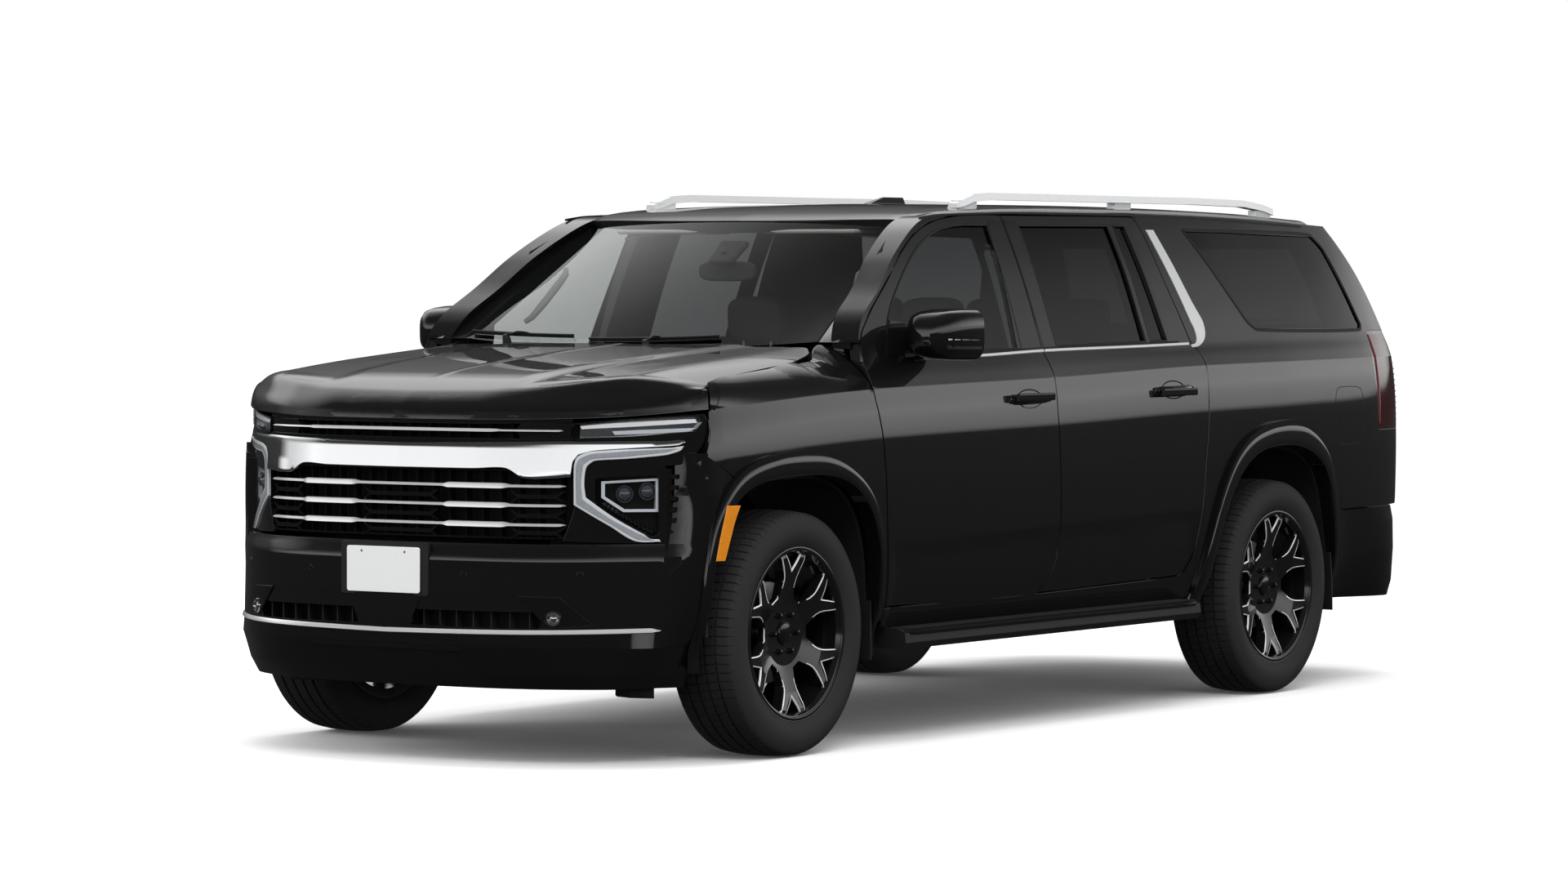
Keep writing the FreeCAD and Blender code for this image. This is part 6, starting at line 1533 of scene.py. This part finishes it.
def wiper(name, pivot_x, x0, x1):
    blade = [screen_foot(x, 30 + 16 * (x - x0) / (x1 - x0)) + (0, -9, 14) for x in np.linspace(x0, x1, 24)]
    rubber = [p + (0, 4, -7) for p in blade]
    middle, pivot = blade[13], screen_foot(pivot_x) + (0, -6, 10)
    elbow = screen_foot(pivot_x + (middle[0] - pivot_x) * 0.25, 12) + (0, -8, 26)
    arm = [
        pivot + (0, 0, 12), (pivot + elbow) / 2 + (0, 0, 12), elbow, (elbow * 2 + middle) / 3 + (0, 0, 8),
        (elbow + middle * 2) / 3 + (0, 0, 7), middle + (0, 0, 4),
    ]
    cap = revolve([(0.01, 22), (10, 21), (13, 15), (15, 0), (17, -12)], tuple(pivot), (0, -0.3, 1), 20)
    bars = [
        tube(blade, 5.5, 8, 0.8), tube(rubber, 2.6, 6, 1.6), tube(arm, [13, 11, 8, 6.5, 5.5, 5], 10, 0.55),
    ]
    solid(name, gather(bars + [cap]), PLASTIC, "black_plastic", angle=38.0)


wiper("wiper_right", -552, -740, -262)
wiper("wiper_left", 84, -180, 360)
# Cowl louvres in the near-black cavity material: their own black with painted shade of the recess
louvres = []
for x in np.arange(-640, 641, 16.0):
    _, y, z = screen_foot(x, -6)
    for k in range(3):
        low, top = y - 24 - 17 * k, z - 3 * k
        louvres.append(box_mesh(x, x + 10, low, low + 12, top - 8, top - 4.5))
solid("cowl_louvres", gather(louvres), CAVITY_SHADE_BLACK, "black_plastic")


# Liftgate and rear bumper
def on_gate(x, z, lift=0.0):
    return surface_point(gate_surface, x, z, BEHIND, lift)[0]


def gate_strip(name, points, half, proud, mat, slot, closed=False, sharp=80.0):
    mesh = surface_ribbon(gate_surface, BEHIND, points, half, proud, 1.2, 14.0, sharp, closed)
    solid(name, mesh, mat, slot, "liftgate", 35.0)


gate_strip("gate_window_seal", inset(GATE_WINDOW, -3.0), 7.0, 2.0, SEAL, "tyre", True, 50.0)
GATE_LINE = [(-610, 1196), (-300, 1200), (0, 1201), (300, 1200), (610, 1196)]
gate_strip("gate_bright_strip", GATE_LINE, 9.0, 5.0, CHROME, "bright")
for k, z in enumerate((884, 1086)):
    gate_strip("gate_plate_fold_%d" % (k + 1), [(-338, z), (0, z), (338, z)], 3.0, 1.6, GLOSS, "gloss_black")
gate_strip("high_stop_lamp", [(-210, 1782), (0, 1784), (210, 1782)], 9.0, 3.0, DARK_RED, "red_lens")
lamp_ys = [(x, on_gate(x, 1098)[1]) for x in (-110, 110)]
plate_lamps = gather([box_mesh(x - 24, x + 24, y - 4, y + 7, 1092, 1104) for x, y in lamp_ys])
solid("plate_lamps", plate_lamps, LAMP_STRIP, "lamp_glass", "liftgate", bevel=1.5)
pull = [on_gate(x, 1152, 8) for x in np.linspace(-120, 120, 13)]
solid("gate_pull", tube(pull, 9.0, 10, 1.3), GLOSS, "gloss_black", "liftgate", 40.0)
pivot, pivot_way = surface_point(gate_surface, 0, 1402, BEHIND, 2)
rear_arm = [pivot + (0, 14, 0), pivot + (40, 20, 8), on_gate(150, 1426, 20), on_gate(230, 1436, 16)]
rear_blade = [on_gate(x, 1434 + 0.01 * x, 12) for x in np.linspace(60, 400, 16)]
rear_cap = revolve([(0.01, 18), (12, 17), (17, 8), (19, -4)], tuple(pivot), tuple(pivot_way), 20)
rear_wiper = gather([tube(rear_arm, [12, 9, 7, 5], 10, 0.7), tube(rear_blade, 5.0, 8), rear_cap])
solid("rear_wiper", rear_wiper, PLASTIC, "black_plastic", "liftgate", 38.0)

REAR_PLAN = curve((0, 2868), (300, 2860), (560, 2838), (760, 2790), (900, 2700))
steps = []
for behind in range(26, 96, 10):
    for x in np.linspace(-560, 532, 40):
        y = float(REAR_PLAN(abs(x + 14))) - behind
        steps.append(box_mesh(x, x + 28, y - 3.0, y + 1.0, 696, 700.0))
solid("bumper_step_ribs", gather(steps), PLASTIC, "black_plastic")
reflector = []
for x in np.linspace(640, 790, 9):
    y = float(REAR_PLAN(x)) - 6
    reflector += [(x, y, 512), (x, y, 540), (x, y + 10, 540), (x, y + 10, 512)]
solid_pair("rear_reflector", (reflector, ring_faces(9, 4)), RED, "red_lens", bevel=1.0)
REAR_SENSOR = [(0.01, 3), (8, 2.8), (9.5, 1.8), (12, 2.2), (13, -6)]
for x in (250, 560):
    mesh = revolve(REAR_SENSOR, (x, float(REAR_PLAN(x)) - 1.5, 600), (0.15, 1, 0), 20)
    solid_pair("rear_sensor", mesh, GLOSS, "gloss_black", label="_%d" % x, angle=30.0)
EXHAUST_TIP = [(30, -70), (32, 0), (36, 2), (38, -2), (38, -70)]
tip = revolve(EXHAUST_TIP, (-270, 1240, 400), (-0.2, 0.95, -0.2), 28)
solid("exhaust_tip", tip, STEEL, "steel", angle=40.0)
bars = []
for z in np.arange(1040, 1385, 23.0):
    x = 900 - 26 * max(0.0, (z - 1250) / 150)
    y = float(tail_y(x * 0.97, z))
    bars.append(box_mesh(x - 44, x - 6, y - 18, y + 1.2, z, z + 4.5))
solid_pair("tail_lamp_bars", gather(bars), RED, "red_lens", bevel=0.8)

# Cabin
PAD_ROWS, PAD_FILL = 22, 0.7


def pad(name, centre, size, tilt, power=0.34, crown=0.0, channels=0):
    """Upholstered pad: a rounded block with sewn channels across its upper face."""
    w, d, h = (measure / 2 for measure in size)
    verts, count = [], PAD_ROWS * 2

    def bend(value):
        return math.copysign(abs(value) ** power, value)

    for i in range(PAD_ROWS + 1):
        lat = math.pi * (i / PAD_ROWS - 0.5)
        for j in range(count):
            lon = 2 * math.pi * j / count
            x, y = w * bend(
                math.cos(lat)
            ) * bend(math.cos(lon)), d * bend(math.cos(lat)) * bend(math.sin(lon))
            z = h * bend(math.sin(lat))
            if z > 0:
                z += crown * (1 - (x / w) ** 2) * (1 - (y / d) ** 2)
                if channels:
                    seam = max(0.0, math.cos(math.pi * channels * y / d)) ** 12
                    z -= 5.0 * seam * max(0.0, 1 - (x / (w * 0.72)) ** 8)
                    z -= 6.0 * math.exp(-((abs(x) - w * 0.66) / 8.0) ** 2)
            verts.append((x, y, z))
    x, y, z = np.array(verts).T
    c, s = math.cos(math.radians(tilt)), math.sin(math.radians(tilt))
    leaned = np.stack([x, y * c - z * s, y * s + z * c], -1) + centre
    obj = solid(name, (leaned, ring_faces(PAD_ROWS + 1, count, caps=False)), SEAT, "seat_trim", angle=80.0)
    return obj


def seat_set(name, x, y, floor_z, width, tall, rests=(0,)):
    """Cushion, back with bolsters, headrests on their posts and a base. Gives the cushion."""
    top = floor_z + tall
    cushion = pad(
        name + "_cushion", (x, y - 15, floor_z + 258), (width, 500, 104), 3.0, crown=8.0, channels=3,
    )
    lean = math.degrees(math.atan2(tall - 250, 175.0))
    middle = (x, y + 268, floor_z + 250 + (tall - 250) / 2)
    pad(name + "_back", middle, (width * 0.96, tall - 236, 118), lean, 0.36, -6.0, 4)
    for k, offset in enumerate(rests):
        pad("%s_headrest_%d" % (name, k + 1), (x + offset, y + 368, top + 104), (252, 96, 168), 6.0, 0.5)
        ends = [
            [(x + offset + dx, y + 356, top - 40), (x + offset + dx, y + 366, top + 60)] for dx in (-62, 62)
        ]
        posts = gather([tube(pair, 7.0) for pair in ends])
        solid("%s_posts_%d" % (name, k + 1), posts, STEEL, "steel", angle=50.0)
    base = box_mesh(x - width * 0.42, x + width * 0.42, y - 225, y + 205, floor_z + 2, floor_z + 206)
    solid(name + "_base", base, TRIM, "trim", bevel=24.0, segments=3)
    return cushion


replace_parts(seat_set("seat_front_left", 390, -420, 616, 520, 740), "seats_front")
seat_set("seat_front_right", -390, -420, 616, 520, 740)
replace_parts(seat_set("seat_middle_left", 390, 400, 616, 500, 740), "seats_rear")
seat_set("seat_middle_right", -390, 400, 616, 500, 740)
seat_set("seat_rear", 0, 1330, 706, 1200, 640, (-400, 0, 400))

# Instrument panel: screens, vents, bright line and the slots below the windscreen, drawn as painted shade
for name, box, mat, slot, bevel in (
    ("dash_screen", (-180, 120, -968, -958, 1110, 1238), LENS, "gloss_black", 4.0),
    ("cluster_screen", (250, 530, -970, -962, 1128, 1206), LENS, "gloss_black", 4.0),
    ("dash_bright_line", (-780, 230, -954, -949, 1098, 1103), SATIN, "satin_rail", 1.0),
):
    solid(name, box_mesh(*box), mat, slot, bevel=bevel)
vent_rows = [(x, 1042 + 9 * k) for x in (-690, -560, 640) for k in range(6)]
vents = gather([box_mesh(x - 52, x + 52, -957, -950, z, z + 3) for x, z in vent_rows])
solid("dash_vents", vents, GLOSS, "gloss_black")
# Dark blocks on the dash top: painted shade of the defrost openings
defrost_shade_blocks = gather([box_mesh(x, x + 26, -1330, -1290, 1284, 1289) for x in np.arange(-600, 600, 34.0)])
solid("defrost_slot_shade", defrost_shade_blocks, CAVITY_SHADE_BLACK, "black_plastic")

# Mirror with its sensor pod on the windscreen, visors and grab handles
POD = [
    (-62, -792, 1756), (62, -792, 1756), (52, -904, 1676), (-52, -904, 1676), (-62, -774, 1734),
    (62, -774, 1734),
    (50, -879, 1658), (-50, -879, 1658),
]
solid("sensor_pod", (POD, ring_faces(2, 4)), TRIM, "trim", bevel=14.0, segments=3)
oval = []
for k in range(40):
    c, s = math.cos(math.pi * k / 20), math.sin(math.pi * k / 20)
    oval.append((122 * math.copysign(abs(c) ** 0.45, c), 36 * math.copysign(abs(s) ** 0.6, s)))
for name, wide, high, y, depth, mat, slot, bevel in (
    ("inner_mirror", 1, 1, -850, 26, TRIM, "trim", 7.0),
    ("inner_mirror_glass", 0.93, 0.88, -824, 2.5, REFLECTOR, "bright", 0.0),
):
    outline = [(x * wide, 1640 + z * high) for x, z in oval]
    solid(name, prism_xz(outline, lambda x: y, depth), mat, slot, bevel=bevel, segments=3)
stem = tube([(0, -838, 1672), (0, -858, 1700), (0, -868, 1716)], [11, 9, 12], 12)
solid("inner_mirror_stem", stem, TRIM, "trim")
GRIP = [
    (712, -1112, 1452), (690, -1098, 1470), (672, -1050, 1520), (652, -985, 1590), (640, -955, 1628),
    (650, -940, 1646),
]
solid_pair("pillar_grip", tube(GRIP, [9, 12, 14, 14, 12, 9], 12), TRIM_LIGHT, "trim", angle=60.0)
solid_pair("visor", box_mesh(120, 520, -800, -640, 1776, 1792), HEADLINER, "trim", bevel=7.0, segments=3)


# Headliner that follows the roof
def liner_surface(u, v):
    p = roof_surface(u, v)
    p[..., 2] -= 66.0 + 34.0 * (np.abs(u) / 640.0) ** 4
    return p


LINER_HALF = [(560, -690), (600, -500), (610, 0), (610, 800), (600, 1500), (560, 2120)]
liner = panel_mesh(
    liner_surface, (0, 0, -1.0), mirror_outline(LINER_HALF), spacing=60.0, flange=8.0, sharp=40.0,
)
skin("headliner", liner, HEADLINER)


# Under the hood: covers, battery, air box, bottle, duct and hose round the engine
def ribbed_cover(name, box, ribs, lengthwise, mat, slot, bevel, rib=5.0):
    """Moulded cover with raised ribs on its top."""
    solid(name, box_mesh(*box), mat, slot, bevel=bevel, segments=3)
    x0, x1, y0, y1, _, top = box
    rows = []
    for k in range(ribs):
        t = (k + 0.5) / ribs
        x, y = x0 + (x1 - x0) * t, y0 + (y1 - y0) * t
        place = (x - 4, x + 4, y0 + 22, y1 - 22) if lengthwise else (x0 + 22, x1 - 22, y - 4, y + 4)
        rows.append(box_mesh(*place, top - 2, top + rib))
    solid(name + "_ribs", gather(rows), mat, slot, bevel=1.6)


ribbed_cover("engine_cover", (-215, 215, -2300, -1540, 1101, 1128), 9, True, PLASTIC, "black_plastic", 11.0)
for word, x in (("left", 224), ("right", -296)):
    ribbed_cover(
        "valve_cover_" + word, (x, x + 72, -2250, -1500, 1101, 1116), 5, False, STEEL, "steel", 6.0, 3.0,
    )
ribbed_cover("battery", (440, 640, -2200, -1930, 940, 1108), 3, False, TRIM_LIGHT, "black_plastic", 10.0)
ribbed_cover("air_box", (-660, -420, -2260, -1960, 930, 1120), 6, False, PLASTIC, "black_plastic", 20.0)
ribbed_cover("fuse_box", (470, 640, -1880, -1700, 980, 1104), 2, True, PLASTIC, "black_plastic", 12.0)
BOTTLE = [
    (0.01, 0), (60, 0), (66, 8), (66, 110), (56, 130), (28, 136), (28, 148), (34, 150), (34, 168), (30, 171),
    (0.01, 171),
]
solid("coolant_bottle", revolve(BOTTLE, (-560, -1780, 950), UP, 32), TRIM_LIGHT, "black_plastic", angle=40.0)
DUCT = [
    (-560, -2130, 1100), (-520, -2250, 1120), (-420, -2330, 1112), (-300, -2350, 1090), (-160, -2350, 1080),
]
duct = spline_rows(DUCT, 8)
solid("intake_duct", tube(duct, 46.0, 18, 0.8), PLASTIC, "black_plastic", angle=60.0)
bands = [tube([duct[k] + (-3, 4, 0), duct[k] + (3, -4, 0)], 48.5, 18, 0.8) for k in (4, 12, 20, 28)]
solid("duct_bands", gather(bands), STEEL, "steel", angle=50.0)
hose = spline_rows([(310, -2340, 1000), (330, -2420, 1030), (320, -2480, 1030), (300, -2540, 1010)], 8)
solid("upper_hose", tube(hose, 21.0, 14), RUBBER, "tyre", angle=60.0)


# Door cards: panel, armrest, pocket, pull and speaker grille inside each door, the grille's holes drawn as
# dots of painted shade
def inner_side(u, v):
    return side(u, v) - (52.0, 0.0, 0.0)


def door_card(name, outline, y0, y1, bodies):
    card = panel_mesh(inner_side, (-1.0, 0, 0), outline, (), 40.0, 3.0, 0.5, 16.0, 9.0, 45.0)
    skin_pair(name, card, TRIM, bodies)
    x = float(inner_side((y0 + y1) / 2, 1010.0)[0])
    loop = [
        (x - 10, y0 + 80, 1120), (x - 34, y0 + 100, 1128), (x - 34, y0 + 190, 1128), (x - 10, y0 + 210, 1120),
    ]
    for label, mesh, mat, bevel in (
        ("_armrest", box_mesh(x - 66, x - 4, y0, y1, 996, 1040), TRIM, 15.0),
        ("_pocket", box_mesh(x - 38, x - 4, y0 - 40, y1 + 20, 610, 700), TRIM, 12.0),
        ("_pull", tube(loop, 7.0), SATIN, 0.0),
    ):
        solid_pair(name + label, mesh, mat, "trim", bodies, angle=40.0, bevel=bevel, segments=3)
    # Dark dots raised on the card: painted shade of the speaker grille's holes
    hole_shade_dots = []
    for ring in range(1, 7):
        for y, z in round_points((y0 + 40, 800), (12.5 * ring, 12.5 * ring), 6 * ring):
            x = float(inner_side(y, z)[0]) - 9.0
            hole_shade_dots.append(box_mesh(x - 1.8, x + 1, y - 3, y + 3, z - 3, z + 3))
    solid_pair(name + "_speaker", gather(hole_shade_dots), CAVITY_SHADE_BLACK, "trim", bodies)


CARD_FRONT = [
    (-1150, 600), (-1180, 900), (-1160, 1240), (-1060, 1290), (-320, 1296), (-300, 700), (-330, 570),
    (-1100, 560),
]
CARD_REAR = [
    (-90, 600), (-100, 1290), (700, 1304), (740, 1240), (680, 1000), (520, 760), (380, 600), (-60, 570),
]
door_card("door_card_front", CARD_FRONT, -900, -420, FRONT_DOORS)
door_card("door_card_rear", CARD_REAR, 80, 480, REAR_DOORS)

# Load sill behind the liftgate
sill = [box_mesh(-640, 640, 2703, 2712, 604, 736)]
sill += [box_mesh(x - 3, x + 3, 2711, 2716, 620, 722) for x in np.arange(-600, 601, 60.0)]
solid("load_sill", gather(sill), PLASTIC, "black_plastic", bevel=1.5)
